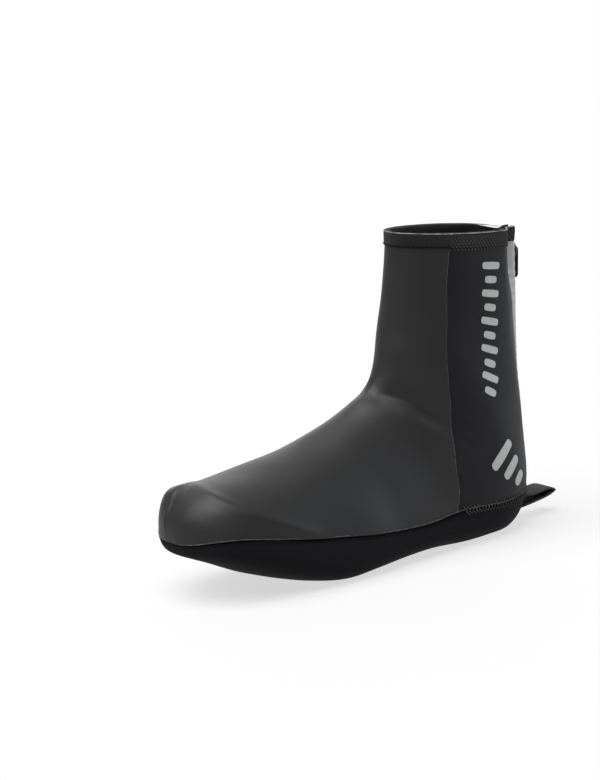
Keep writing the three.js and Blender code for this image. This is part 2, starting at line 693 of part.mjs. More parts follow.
// Pull tab: hangs from its bar inside the bail and turns about X
const halfBar = TAB_WALL / 2;
const windowHalf = BAIL_WIDTH / 2 + TAB_PLAY;
const windowFoot = bailRadius + TAB_PLAY + halfBar;
const tabEnd = TAB_LENGTH - TAB_WIDTH / 2;
const tabOutline = new THREE.Shape();
tabOutline.moveTo(-TAB_WIDTH / 2, -halfBar);
tabOutline.lineTo(TAB_WIDTH / 2, -halfBar);
tabOutline.lineTo(TAB_WIDTH / 2, tabEnd);
tabOutline.absarc(0, tabEnd, TAB_WIDTH / 2, 0, Math.PI);
const tabWindow = new THREE.Path();
tabWindow.moveTo(-windowHalf, halfBar);
tabWindow.lineTo(-windowHalf, windowFoot);
tabWindow.lineTo(windowHalf, windowFoot);
tabWindow.lineTo(windowHalf, halfBar);
tabOutline.holes.push(tabWindow);
const tabBody = plate(tabOutline, TAB_WALL).translate(0, -halfBar, 0);
const tab = named('zip_pull_tab', tabBody, COLOURS.metal, 0.4, 0.8);
tab.position.y = hingeOut;
slider.add(tab);

// Body of the form round the heel, for cutting what sits on it; finer than the walls, so that it holds them
function heelBody(clearance) {
  const around = 8 * SOLE_COLUMNS;
  const heelRows = rows.filter((s) => s >= SEAM_START && s <= zipRow);
  const rings = heelRows.map((s) => evenAngles(s, -Math.PI, Math.PI, around).map((angle) => (
    point(s, angle).addScaledVector(normal(s, angle), clearance)
  )));
  const middle = (ring) => {
    const sum = ring.reduce((total, place) => total.add(place), new THREE.Vector3());
    return sum.multiplyScalar(1 / ring.length);
  };
  const positions = [];
  const face = (a, b, c) => positions.push(...a.toArray(), ...b.toArray(), ...c.toArray());
  for (let j = 0; j < around; j += 1) {
    for (let i = 0; i < rings.length - 1; i += 1) {
      face(rings[i][j], rings[i][j + 1], rings[i + 1][j + 1]);
      face(rings[i][j], rings[i + 1][j + 1], rings[i + 1][j]);
    }
    const first = rings[0];
    const last = rings[rings.length - 1];
    face(middle(first), first[j + 1], first[j]);
    face(middle(last), last[j], last[j + 1]);
  }
  return toSolid(outward(positions));
}

// Pull loop: webbing folded over, both ends on the back of the heel
function loopGeometry() {
  const rootAt = (height) => point(solve(backHeight, height, SEAM_START + 1, heelRow + 1), Math.PI);
  const roots = { top: rootAt(LOOP_TOP_ROOT), low: rootAt(LOOP_LOW_ROOT) };
  const inside = (root) => new THREE.Vector3(root.y - SOLE_WALL, root.z, 0);
  const middle = LOOP_PATH.map(({ leg, out, up }) => (
    new THREE.Vector3(roots[leg].y + out * LOOP_REACH, roots[leg].z + up * LOOP_RISE, 0)
  ));
  const path = new THREE.CatmullRomCurve3([inside(roots.top), ...middle, inside(roots.low)]);
  const over = [];
  const under = [];
  for (let k = 0; k <= LOOP_STEPS; k += 1) {
    const place = path.getPointAt(k / LOOP_STEPS);
    const tangent = path.getTangentAt(k / LOOP_STEPS);
    const aside = new THREE.Vector3(-tangent.y, tangent.x, 0).multiplyScalar(LOOP_WALL / 2);
    over.push(place.clone().add(aside));
    under.push(place.clone().sub(aside));
  }
  const outline = new THREE.Shape([...over, ...under.reverse()].map((p) => new THREE.Vector2(p.x, p.y)));
  const band = new THREE.ExtrudeGeometry(outline, { depth: LOOP_WIDTH, bevelEnabled: false });
  const upright = new THREE.Matrix4().makeBasis(
    new THREE.Vector3(0, 1, 0),
    new THREE.Vector3(0, 0, 1),
    new THREE.Vector3(1, 0, 0),
  );
  band.applyMatrix4(upright).translate(-LOOP_WIDTH / 2, 0, 0);
  return fromSolid(toSolid(band).subtract(heelBody(GAP)));
}

overshoe.add(named('pull_loop', loopGeometry(), COLOURS.webbing, 0.85));

// The middle of the outline on the floor is the origin
const bounds = new THREE.Box3().setFromObject(overshoe);
const middle = bounds.getCenter(new THREE.Vector3());
overshoe.position.set(-middle.x, -middle.y, -bounds.min.z);

export default overshoe;
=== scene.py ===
import math

import bmesh
import bpy
import numpy as np
from mathutils import Matrix, Vector
from mathutils.bvhtree import BVHTree


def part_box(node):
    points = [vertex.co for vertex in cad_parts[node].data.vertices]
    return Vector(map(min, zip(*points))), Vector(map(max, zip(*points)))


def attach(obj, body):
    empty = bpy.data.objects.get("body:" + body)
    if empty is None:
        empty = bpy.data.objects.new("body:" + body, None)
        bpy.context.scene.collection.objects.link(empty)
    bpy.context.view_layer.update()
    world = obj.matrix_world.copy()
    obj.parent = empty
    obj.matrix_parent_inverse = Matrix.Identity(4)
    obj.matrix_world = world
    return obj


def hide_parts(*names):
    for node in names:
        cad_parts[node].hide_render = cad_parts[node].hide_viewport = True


# A left cycling overshoe. Lengths in the tables are millimetres in the row frame: the toe points to -Y, the
# outer side to +X and +Z is up.
MM = 0.001

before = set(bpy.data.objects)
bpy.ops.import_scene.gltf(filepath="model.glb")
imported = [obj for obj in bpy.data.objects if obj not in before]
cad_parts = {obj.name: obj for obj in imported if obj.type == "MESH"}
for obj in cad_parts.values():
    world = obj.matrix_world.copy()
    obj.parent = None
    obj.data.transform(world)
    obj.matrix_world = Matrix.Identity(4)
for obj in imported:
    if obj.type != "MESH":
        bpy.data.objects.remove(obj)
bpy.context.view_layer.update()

# Sizes of the form, as the solids have them
FORM_LENGTH = 303.5
BALL_WIDTH = 103
HEEL_WIDTH = 81
TOE_HEIGHT = 77
INSTEP_HEIGHT = 125
TOE_SPRING = 29.5
NOSE_LENGTH = 42
COLLAR_HEIGHT = 225
COLLAR_DROP = 14
COLLAR_DEPTH = 108
COLLAR_WIDTH = 50
SHAFT_LEAN = 5.5
FLOOR_CUT = 2.5
FLOOR_BLEND = 1.2
TOE_EDGE = 46
HEEL_EDGE = 25
UPPER_WALL = 2.2
SOLE_WALL = 2.4
FRONT_PANEL_STEP = 0.5
GAP = 0.35
CLEAT_LENGTH = 84
CLEAT_WIDTH = 58
CLEAT_CENTRE = 108
HEEL_HOLE_LENGTH = 44
HEEL_HOLE_WIDTH = 34
HEEL_HOLE_SETBACK = 62
HOLE_SQUARENESS = 2.5
BINDING_HEIGHT = 8.5
ZIP_FOOT = 58
ZIP_SLOT = 7
COIL_WIDTH = 5.2
COIL_DEPTH = 2
COIL_SINK = 0.4
COIL_TOP_MARGIN = 3
TAPE_WIDTH = 12
TAPE_WALL = 0.8
STRIP_WIDTH = 5.5
STRIP_WALL = 0.7
LOOP_WIDTH = 20
LOOP_WALL = 1.6
LOOP_REACH = 25
LOOP_RISE = 5
LOOP_TOP_ROOT = 18.5
LOOP_LOW_ROOT = 9.5

# Sections of the foot, as shares of the sizes above
FOOT_COLUMNS = ("along", "under", "top", "lift", "heel", "outer", "inner", "widest", "crown", "base",
                "outer_edge", "inner_edge")
FOOT_SECTIONS = (
    (0, 0, -0.125, 1, 0, 0.379, 0.398, 0.58, 2.7, 2.5, 0.86, 0.86),
    (0.046, 0.046, -0.02, 0.93, 0, 0.417, 0.427, 0.6, 2.6, 2.6, 1.02, 0.95),
    (0.099, 0.099, 0, 0.8, 0, 0.442, 0.447, 0.63, 2.4, 2.8, 1.02, 0.95),
    (0.155, 0.155, 0.042, 0.59, 0, 0.471, 0.471, 0.66, 2.25, 3, 0.9, 0.9),
    (0.217, 0.221, 0.104, 0.36, 0, 0.5, 0.485, 0.69, 2.1, 3.2, 0.74, 0.86),
    (0.283, 0.297, 0.188, 0.15, 0, 0.519, 0.481, 0.72, 2, 3.4, 0.57, 0.76),
    (0.356, 0.382, 0.292, 0, 0, 0.519, 0.456, 0.75, 1.95, 3.6, 0.4, 0.67),
    (0.425, 0.474, 0.417, 0, 0.35, 0.535, 0.462, 0.77, 1.9, 3.4, 0.21, 0.52),
    (0.481, 0.567, 0.542, 0, 0.7, 0.531, 0.479, 0.77, 1.9, 3.3, 0.07, 0.38),
    (0.53, 0.659, 0.677, 0, 0.9, 0.523, 0.493, 0.76, 1.9, 3.2, 0.02, 0.29),
    (0.57, 0.751, 0.833, 0, 1, 0.512, 0.5, 0.73, 1.9, 3.1, 0.12, 0.24),
    (0.596, 0.837, 1, 0, 1, 0.5, 0.5, 0.68, 1.95, 3, 0.1, 0.14),
)

# Sections of the heel and shaft, as shares; seam is the angle of the side seam in degrees
SHAFT_COLUMNS = ("front", "rise", "back", "lean", "height", "narrow", "widest", "crown", "base", "seam")
SHAFT_SECTIONS = (
    (0.225, 0.09, 0.913, 0, 0.004, 0.05, 0.62, 2, 2.6, 65),
    (0.375, 0.2, 0.969, 0, 0.052, 0.13, 0.57, 2, 2.25, 61.5),
    (0.5, 0.32, 0.995, 0, 0.15, 0.24, 0.53, 2, 2.1, 60),
    (0.625, 0.46, 1, 0, 0.3, 0.42, 0.5, 2, 2, 61),
    (0.75, 0.625, 1, -0.1, 0.488, 0.645, 0.5, 2, 2, 64),
    (0.875, 0.81, 1, 0.27, 0.732, 0.87, 0.5, 2, 2, 66),
    (1, 1, 1, 1, 1, 1, 0.5, 2, 2, 69.5),
)
SEAM_START = len(FOOT_SECTIONS) - 2
INSTEP_SEAM_ANGLE = 74
NOSE_PLAN = 2.2
NOSE_SIDE = 3.2
TINY = 1e-6

LIFT = np.array([0, 0, GAP])

# Where the form lies in the row frame
SHIFT = np.array([
    (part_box("zip_coil")[0].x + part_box("zip_coil")[1].x) / 2,
    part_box("sole")[0].y,
    0,
]) / MM


def between(start, end, share):
    return start + (end - start) * share


def smoothstep(start, end, value):
    share = np.clip((value - start) / (end - start), 0, 1)
    return share * share * (3 - 2 * share)


# Sections in millimetres
def form_rows():
    collar_back = FORM_LENGTH + SHAFT_LEAN
    collar_front = collar_back - COLLAR_DEPTH
    instep_front = FOOT_SECTIONS[-1][0] * FORM_LENGTH
    rows = []
    for values in FOOT_SECTIONS:
        row = dict(zip(FOOT_COLUMNS, values))
        width = between(BALL_WIDTH, HEEL_WIDTH, row["heel"])
        rows.append({
            "top_y": row["along"] * FORM_LENGTH,
            "top_z": between(TOE_HEIGHT, INSTEP_HEIGHT, row["top"]),
            "low_y": row["under"] * FORM_LENGTH,
            "low_z": row["lift"] * TOE_SPRING - FLOOR_CUT,
            "outer": row["outer"] * width,
            "inner": row["inner"] * width,
            "widest": row["widest"],
            "crown": row["crown"],
            "base": row["base"],
            "outer_edge": between(HEEL_EDGE, TOE_EDGE, row["outer_edge"]),
            "inner_edge": between(HEEL_EDGE, TOE_EDGE, row["inner_edge"]),
        })
    for values in SHAFT_SECTIONS:
        row = dict(zip(SHAFT_COLUMNS, values))
        width = between(HEEL_WIDTH, COLLAR_WIDTH, row["narrow"])
        rows.append({
            "top_y": between(instep_front, collar_front, row["front"]),
            "top_z": between(INSTEP_HEIGHT, COLLAR_HEIGHT, row["rise"]),
            "low_y": row["back"] * FORM_LENGTH + row["lean"] * SHAFT_LEAN,
            "low_z": between(-FLOOR_CUT, COLLAR_HEIGHT - COLLAR_DROP, row["height"]),
            "outer": width / 2,
            "inner": width / 2,
            "widest": row["widest"],
            "crown": row["crown"],
            "base": row["base"],
            "outer_edge": HEEL_EDGE,
            "inner_edge": HEEL_EDGE,
        })
    return rows


ROWS = form_rows()
COLLAR = len(ROWS) - 1
TIP_HEIGHT = ROWS[0]["outer_edge"]
TABLE = {key: np.array([row[key] for row in ROWS], float) for key in ROWS[0]}


def smooth(values, s):
    """Smooth value between rows, through every row."""
    last = len(values) - 1
    i = np.clip(np.floor(s).astype(int), 0, last - 1)
    t = s - i
    padded = np.concatenate([[2 * values[0] - values[1]], values, [2 * values[-1] - values[-2]]])
    a, b, c, d = (padded[i + k] for k in range(4))
    return b + 0.5 * t * (c - a + t * (2 * a - 5 * b + 4 * c - d + t * (3 * (b - c) + d - a)))


def at(key, s):
    return smooth(TABLE[key], s)


def nose(q, squareness):
    return (1 - (1 - np.clip(q, 0, 1)) ** squareness) ** (1 / squareness)


def form_point(s, angle):
    """Points on the form in the row frame, at row positions and angles from the front or top line."""
    s, angle = np.broadcast_arrays(np.asarray(s, float), np.asarray(angle, float))
    q = at("top_y", s) / NOSE_LENGTH
    wide = nose(q, NOSE_PLAN)
    tall = nose(q, NOSE_SIDE)
    top_z = between(TIP_HEIGHT, at("top_z", s), tall)
    low_z = between(TIP_HEIGHT, at("low_z", s), tall)
    widest = at("widest", s)
    up = np.cos(angle) >= 0
    square = np.where(up, at("crown", s), at("base", s))
    high = np.abs(np.cos(angle)) ** (2 / square)
    side = np.abs(np.sin(angle)) ** (2 / square)
    down = np.where(up, widest * (1 - high), widest + (1 - widest) * high)
    x = np.where(np.sin(angle) >= 0, at("outer", s), -at("inner", s)) * wide * side
    y = between(at("top_y", s), at("low_y", s), down)
    z = between(top_z, low_z, down)
    z = (z + np.sqrt(z * z + FLOOR_BLEND ** 2)) / 2
    return np.stack([x, y, z], -1) + SHIFT


def unit(vectors):
    return vectors / np.maximum(np.linalg.norm(vectors, axis=-1, keepdims=True), TINY)


def form_normal(s, angle):
    """Directions out of the form."""
    s, angle = np.broadcast_arrays(np.asarray(s, float), np.asarray(angle, float))
    step = 0.01
    back = np.maximum(s - step, s / 2)
    ahead = np.minimum(s + step, COLLAR)
    along = form_point(ahead, angle) - form_point(back, angle)
    around = form_point(s, angle + step) - form_point(s, angle - step)
    out = unit(np.cross(around, along))
    return np.where(s[..., None] < TINY, np.array([0.0, -1.0, 0.0]), out)


def edge_angle(s, key, rise=0.0):
    """Angle of the sole's edge, or of a line over it, on one side, pi where the whole section is above it."""
    down = (at("top_z", s) - at(key, s) - rise) / (at("top_z", s) - at("low_z", s))
    widest = at("widest", s)
    above = np.arccos(np.clip(1 - down / widest, 0, 1) ** (at("crown", s) / 2))
    under = np.clip((down - widest) / (1 - widest), 0, 1)
    below = math.pi - np.arccos(under ** (at("base", s) / 2))
    return np.where(down >= 1, math.pi, np.where(down <= widest, above, below))


def back_angle(s, x):
    """Angle at distance x from the middle of the back."""
    share = np.clip(x / at("outer", s), 0, 1)
    return math.pi - np.arcsin(share ** (at("base", s) / 2))


def solve(measure, value, low, high):
    for _ in range(50):
        middle = (low + high) / 2
        if measure(middle) < value:
            low = middle
        else:
            high = middle
    return (low + high) / 2


def back_height(s):
    return float(form_point(s, math.pi)[2])


HEEL_ROW = solve(back_height, HEEL_EDGE, SEAM_START, COLLAR)
ZIP_ROW = solve(back_height, ZIP_FOOT, SEAM_START, COLLAR)


def seam_table(key):
    rows = []
    for i in range(len(ROWS)):
        if i <= SEAM_START:
            rows.append(float(edge_angle(np.array(float(i)), key)))
        elif i < len(FOOT_SECTIONS):
            rows.append(math.radians(INSTEP_SEAM_ANGLE))
        else:
            rows.append(math.radians(SHAFT_SECTIONS[i - len(FOOT_SECTIONS)][-1]))
    return np.array(rows)


SEAMS = {key: seam_table(key) for key in ("outer_edge", "inner_edge")}


def border_angle(s, key):
    """Border of the upper on one side: the sole's edge, then the closed heel, then the zip's slot."""
    rounding = 4
    open_share = np.clip((form_point(s, math.pi)[..., 2] - ZIP_FOOT) / rounding, 0, 1)
    slot = back_angle(s, ZIP_SLOT / 2 * np.sqrt(1 - (1 - open_share) ** 2))
    return np.where(s < HEEL_ROW, edge_angle(s, key), np.where(s < ZIP_ROW, math.pi, slot))


def seam_angle(s, key):
    border = border_angle(s, key)
    return np.where(s <= SEAM_START, border, np.minimum(smooth(SEAMS[key], s), border))


# Grids over the form
ARC_SAMPLES = 300


def row_positions(stride):
    """Row positions whose lines are nowhere further apart than stride."""
    s = COLLAR * np.linspace(0, 1, 4000) ** 1.6
    lines = []
    for angle in np.linspace(-math.pi, math.pi, 17):
        places = form_point(s, np.full_like(s, angle))
        lines.append(np.linalg.norm(np.diff(places, axis=0), axis=1))
    walked = np.concatenate([[0], np.cumsum(np.max(lines, axis=0))])
    count = int(walked[-1] / stride)
    rows = np.interp(np.linspace(0, walked[-1], count), walked, s)
    heel = int(np.argmin(np.abs(rows - HEEL_ROW)))
    rows[heel] = HEEL_ROW
    return rows


def eased(count, ease):
    """Shares from 0 to 1 that are closer together at both ends."""
    u = np.linspace(0, 1, count + 1)
    return u - ease * np.sin(2 * math.pi * u) / (2 * math.pi)


def spread_angles(s, start, end, shares):
    """Angles that divide each row's arc by length in the given shares, and each arc's length."""
    t = np.linspace(0, 1, ARC_SAMPLES)
    angles = start[:, None] + (end - start)[:, None] * t
    places = form_point(s[:, None], angles)
    strides = np.linalg.norm(np.diff(places, axis=1), axis=2)
    walked = np.concatenate([np.zeros((len(s), 1)), np.cumsum(strides + TINY, axis=1)], axis=1)
    found = [np.interp(w[-1] * shares, w, a) for w, a in zip(walked, angles)]
    return np.array(found), walked[:, -1]


def grid_uv(places):
    """Lengths along each row and along each column, in metres."""
    across = np.linalg.norm(np.diff(places, axis=1), axis=2)
    u = np.concatenate([np.zeros((len(places), 1)), np.cumsum(across, axis=1)], axis=1)
    u -= u[:, u.shape[1] // 2][:, None]
    along = np.linalg.norm(np.diff(places, axis=0), axis=2)
    v = np.concatenate([np.zeros((1, places.shape[1])), np.cumsum(along, axis=0)], axis=0)
    return np.stack([u, v], -1) * MM


# Meshes
def make_object(name, vertices, faces, materials, slots=None, uvs=None, sharp=50):
    """A smooth mesh object with its vertices in millimetres; uvs are one pair for each vertex."""
    mesh = bpy.data.meshes.new(name)
    mesh.from_pydata((np.asarray(vertices, float) * MM).tolist(), [], [list(map(int, f)) for f in faces])
    for material in materials:
        mesh.materials.append(material)
    if slots is not None:
        mesh.polygons.foreach_set("material_index", np.asarray(slots, np.int32))
    if uvs is not None:
        layer = mesh.uv_layers.new(name="cloth")
        corner = np.zeros(len(mesh.loops), np.int32)
        mesh.loops.foreach_get("vertex_index", corner)
        layer.data.foreach_set("uv", np.asarray(uvs, float)[corner].astype(np.float32).ravel())
    work = bmesh.new()
    work.from_mesh(mesh)
    bmesh.ops.remove_doubles(work, verts=work.verts, dist=1e-6)
    bmesh.ops.dissolve_degenerate(work, edges=work.edges, dist=1e-7)
    bmesh.ops.recalc_face_normals(work, faces=work.faces)
    for face in work.faces:
        face.smooth = True
    work.to_mesh(mesh)
    work.free()
    mesh.set_sharp_from_angle(angle=math.radians(sharp))
    piece = bpy.data.objects.new(name, mesh)
    bpy.context.scene.collection.objects.link(piece)
    return piece


def slab_faces(rows, columns):
    """Faces of a closed slab between two grids of points, on the front, the back and the rims."""
    count = rows * columns
    index = np.arange(count).reshape(rows, columns)
    a, b = index[:-1, :-1], index[:-1, 1:]
    c, d = index[1:, 1:], index[1:, :-1]
    front = np.stack([a, b, c, d], -1).reshape(-1, 4)
    back = np.stack([a, d, c, b], -1).reshape(-1, 4) + count
    rims = []
    for line in (index[0], index[-1], index[:, 0], index[:, -1]):
        rims.append(np.stack([line[:-1], line[1:], line[1:] + count, line[:-1] + count], -1))
    return front, back, np.concatenate(rims)


def closed_sheet(name, outer, inner, materials, column_slots=None, inner_slot=0, sharp=50):
    """A closed sheet between two grids of points."""
    rows, columns = outer.shape[:2]
    front, back, rims = slab_faces(rows, columns)
    if column_slots is None:
        column_slots = np.zeros(columns - 1, int)
    slots = np.concatenate([
        np.tile(column_slots, rows - 1),
        np.full(len(back), inner_slot),
        np.full(len(rims), inner_slot),
    ])
    both = np.concatenate([outer.reshape(-1, 3), inner.reshape(-1, 3)])
    uvs = np.concatenate([grid_uv(outer).reshape(-1, 2)] * 2)
    return make_object(name, both, np.concatenate([front, back, rims]), materials, slots, uvs, sharp)


def tube_rings(path, radius, sides, up):
    """Rings of points round a path."""
    path = np.asarray(path, float)
    tangent = unit(np.gradient(path, axis=0))
    up = np.broadcast_to(np.asarray(up, float), path.shape)
    across = unit(np.cross(tangent, up))
    over = unit(np.cross(across, tangent))
    turn = np.linspace(0, 2 * math.pi, sides, endpoint=False)
    radius = np.broadcast_to(np.asarray(radius, float), (len(path),))
    ring = np.cos(turn)[None, :, None] * across[:, None] + np.sin(turn)[None, :, None] * over[:, None]
    return path[:, None] + radius[:, None, None] * ring


def ring_faces(rings, sides, start):
    """Faces of a tube: quads between its rings and a cap on each end."""
    faces = []
    for i in range(rings - 1):
        here = start + i * sides
        there = here + sides
        for j in range(sides):
            k = (j + 1) % sides
            faces.append((here + j, here + k, there + k, there + j))
    faces.append(tuple(start + j for j in reversed(range(sides))))
    faces.append(tuple(start + (rings - 1) * sides + j for j in range(sides)))
    return faces


class Bundle:
    """Collects tubes that become one piece."""

    def __init__(self):
        self.points = []
        self.faces = []
        self.count = 0

    def tube(self, path, radius, sides=5, up=(0, 0, 1)):
        rings = tube_rings(path, radius, sides, up)
        self.faces += ring_faces(len(rings), sides, self.count)
        self.points.append(rings.reshape(-1, 3))
        self.count += rings.shape[0] * sides

    def make(self, name, material):
        return make_object(name, np.concatenate(self.points), self.faces, [material], sharp=60)


def resample(path, spacing=None, count=None):
    """A path with evenly spaced points."""
    path = np.asarray(path, float)
    walked = np.concatenate([[0], np.cumsum(np.linalg.norm(np.diff(path, axis=0), axis=1))])
    if count is None:
        count = max(2, int(round(walked[-1] / spacing)) + 1)
    want = np.linspace(0, walked[-1], count)
    return np.stack([np.interp(want, walked, path[:, k]) for k in range(3)], -1)


def spline(points, count=60):
    """A smooth line through points."""
    points = np.asarray(points, float)
    s = np.linspace(0, len(points) - 1, count)
    return np.stack([smooth(points[:, k], s) for k in range(points.shape[1])], -1)


# Relief of the cloth: soft ridges and troughs along lines that lie on the shoe
ANKLE_LINE = ((-3.5, 10.5, 116.8), (7.6, 14.4, 116.3), (15.4, 21.6, 113.9), (25.5, 35.2, 104.9),
              (30.1, 44.3, 96.7), (33.5, 54.2, 87.4))
FOLDS = {
    "ankle crease": {
        "line": ANKLE_LINE,
        "height": -3.4, "width": 8,
    },
    "sharp middle of the ankle crease": {
        "line": ANKLE_LINE[1:],
        "height": -0.8, "width": 2.3,
    },
    "hollow over the ankle crease": {
        "line": ((14, 17, 124), (23, 28, 117), (29, 38, 109), (33, 48, 99)),
        "height": -1.2, "width": 7,
    },
    "swell over the ankle crease": {
        "line": ((4, 22, 146), (17, 30, 143), (27, 41, 136), (32, 52, 126)),
        "height": 1.5, "width": 11,
    },
    "ridge under the ankle crease": {
        "line": ((18, 21, 106), (23, 28, 101), (29, 38, 93), (33.5, 49, 84)),
        "height": 0.6, "width": 4.5,
    },
    "toe seam": {
        "line": ((-21, -125, 76), (-19.4, -132.1, 76), (-15.3, -150.3, 72), (-12.6, -157.8, 63.8),
                 (-13.1, -160.5, 57.1), (-9.6, -161.9, 49.5)),
        "height": 0.6, "width": 1.8,
    },
    "crease beside the toe seam": {
        "line": ((-15, -137, 76.5), (-11.5, -150, 72), (-8.5, -157.5, 63), (-8.6, -160.5, 56)),
        "height": -0.5, "width": 2.2,
    },
    "toe corner": {
        "line": ((-40, -130, 60), (-30, -140, 69), (-19, -145, 74), (-10, -144, 77)),
        "height": 2.8, "width": 9,
    },
    "toe box edge": {
        "line": ((-24, -131, 76), (-8, -136, 77), (12, -139.5, 75), (27, -135, 69), (36, -124, 62.5),
                 (44, -107, 54), (48.5, -88, 44.5), (49.5, -72, 37)),
        "height": 1.9, "width": 5.5,
    },
    "hollow under the toe box edge": {
        "line": ((16, -151, 64), (29, -143, 58), (39, -127, 50), (45, -108, 43), (48.5, -88, 35)),
        "height": -1.3, "width": 6,
    },
    "first small crease at the ankle": {
        "line": ((31, 55, 82), (33.5, 62, 78), (35.5, 70, 72)),
        "height": -0.5, "width": 2.6,
    },
    "second small crease at the ankle": {
        "line": ((32, 60, 92), (33.5, 67, 87), (34.8, 74, 80)),
        "height": -0.45, "width": 2.4,
    },
}

# Pinch beside the zip: its start, bottom and end from the middle of the back, and its depth at heights
PINCH_START = 3.2
PINCH_BOTTOM = 9.5
PINCH_END = 32
PINCH_SHAPE = ((60, 0), (70, 0.6), (130, 1.4), (160, 3.2), (187, 7), (213, 8))

# Long soft waves: length, direction and height
WAVES = (
    (64, (0.3, 0.5, 1), 0.22),
    (41, (-0.6, 1, 0.5), 0.16),
    (29, (0.8, -0.3, 0.9), 0.1),
    (53, (1, 0.7, -0.4), 0.18),
)


def fold_relief(places, fold):
    line = spline(fold["line"])
    flat = places.reshape(-1, 3)
    nearest = np.full(len(flat), 1e9)
    share = np.zeros(len(flat))
    for k, point in enumerate(line):
        distance = np.linalg.norm(flat - point, axis=1)
        closer = distance < nearest
        nearest[closer] = distance[closer]
        share[closer] = k / (len(line) - 1)
    fade = np.sqrt(np.clip(np.sin(math.pi * np.clip(share, 0.02, 0.98)) * 1.6, 0, 1))
    return (fold["height"] * fade * np.exp(-(nearest / fold["width"]) ** 2)).reshape(places.shape[:-1])


def relief(s, angle):
    """How far the cloth stands off the plain form."""
    places = form_point(s, angle)
    total = np.zeros(places.shape[:-1])
    for fold in FOLDS.values():
        total += fold_relief(places, fold)
    for length, direction, height in WAVES:
        total += height * np.sin(places @ unit(np.array(direction, float)) * 2 * math.pi / length)
    heights, depths = zip(*PINCH_SHAPE)
    from_back = np.linalg.norm(places - form_point(s, math.pi), axis=-1)
    depth = np.interp(places[..., 2], heights, depths)
    falls = smoothstep(PINCH_START, PINCH_BOTTOM, from_back)
    rises = smoothstep(PINCH_BOTTOM, PINCH_END, from_back)
    return total * smoothstep(1, 8, from_back) - depth * falls * (1 - rises)


def cloth_point(s, angle, height):
    """Points at a height over the cloth of the upper."""
    s, angle = np.broadcast_arrays(np.asarray(s, float), np.asarray(angle, float))
    lift = np.asarray(height) + relief(s, angle)
    return form_point(s, angle) + form_normal(s, angle) * lift[..., None] + LIFT


# Materials
class Finish:
    """A material with short calls for its nodes; only what varies is linked to the shader."""

    def __init__(self, name, colour, roughness, metallic=0.0, sheen=0.0, specular=0.5):
        self.made = bpy.data.materials.new(name)
        self.made.use_nodes = True
        self.tree = self.made.node_tree
        self.sockets = self.tree.nodes["Principled BSDF"].inputs
        self.sockets["Base Color"].default_value = (*colour, 1)
        self.sockets["Roughness"].default_value = roughness
        self.sockets["Metallic"].default_value = metallic
        self.sockets["Specular IOR Level"].default_value = specular
        if sheen:
            self.sockets["Sheen Weight"].default_value = sheen
            self.sockets["Sheen Roughness"].default_value = 0.5

    def add(self, kind, **settings):
        node = self.tree.nodes.new(kind)
        for key, value in settings.items():
            setattr(node, key, value)
        return node

    def link(self, output, target):
        self.tree.links.new(output, target)

    def uv(self):
        return self.add("ShaderNodeUVMap", uv_map="cloth").outputs[0]

    def place(self):
        return self.add("ShaderNodeTexCoord").outputs["Object"]

    def noise(self, vector, scale, detail):
        node = self.add("ShaderNodeTexNoise")
        node.inputs["Scale"].default_value = scale
        node.inputs["Detail"].default_value = detail
        self.link(vector, node.inputs["Vector"])
        return node.outputs["Fac"]

    def cells(self, vector, scale):
        node = self.add("ShaderNodeTexVoronoi")
        node.inputs["Scale"].default_value = scale
        self.link(vector, node.inputs["Vector"])
        return node.outputs["Distance"]

    def turned(self, vector, degrees):
        node = self.add("ShaderNodeMapping")
        node.inputs["Rotation"].default_value = (0, 0, math.radians(degrees))
        self.link(vector, node.inputs["Vector"])
        return node.outputs[0]

    def wave(self, vector, scale, direction, distortion):
        node = self.add("ShaderNodeTexWave", bands_direction=direction)
        node.inputs["Scale"].default_value = scale
        node.inputs["Distortion"].default_value = distortion
        self.link(vector, node.inputs["Vector"])
        return node.outputs["Fac"]

    def blend(self, first, second, share):
        """The first pattern and a share of the second one."""
        node = self.add("ShaderNodeMath", operation="MULTIPLY_ADD")
        self.link(second, node.inputs[0])
        node.inputs[1].default_value = share
        self.link(first, node.inputs[2])
        return node.outputs[0]

    def colour(self, pattern, low, high):
        node = self.add("ShaderNodeMix", data_type="RGBA")
        self.link(pattern, node.inputs[0])
        node.inputs[6].default_value = (*low, 1)
        node.inputs[7].default_value = (*high, 1)
        self.link(node.outputs[2], self.sockets["Base Color"])

    def rough(self, pattern, low, high):
        node = self.add("ShaderNodeMapRange")
        node.inputs["To Min"].default_value = low
        node.inputs["To Max"].default_value = high
        self.link(pattern, node.inputs["Value"])
        self.link(node.outputs[0], self.sockets["Roughness"])

    def bump(self, pattern, depth):
        node = self.add("ShaderNodeBump")
        node.inputs["Strength"].default_value = 1
        node.inputs["Distance"].default_value = depth * MM
        self.link(pattern, node.inputs["Height"])
        self.link(node.outputs[0], self.sockets["Normal"])


def coated_cloth():
    """Smooth coated stretch cloth with a very fine grain."""
    finish = Finish("coated_cloth", (0.0135, 0.0135, 0.0138), 0.5, specular=0.25)
    cloudy = finish.noise(finish.place(), 40, 3)
    finish.colour(cloudy, (0.012, 0.012, 0.0123), (0.015, 0.015, 0.0153))
    finish.rough(cloudy, 0.47, 0.54)
    finish.bump(finish.noise(finish.place(), 2600, 2), 0.05)
    return finish.made


def stretch_cloth():
    """Matt stretch cloth of the rear panels, with fine ribs."""
    finish = Finish("stretch_cloth", (0.0045, 0.0045, 0.0056), 0.5, specular=0.17)
    ribs = finish.wave(finish.uv(), 450, "X", 1.5)
    fuzz = finish.noise(finish.uv(), 3000, 2)
    finish.colour(fuzz, (0.0034, 0.0034, 0.0044), (0.0053, 0.0053, 0.0068))
    finish.bump(finish.blend(fuzz, ribs, 0.6), 0.12)
    return finish.made


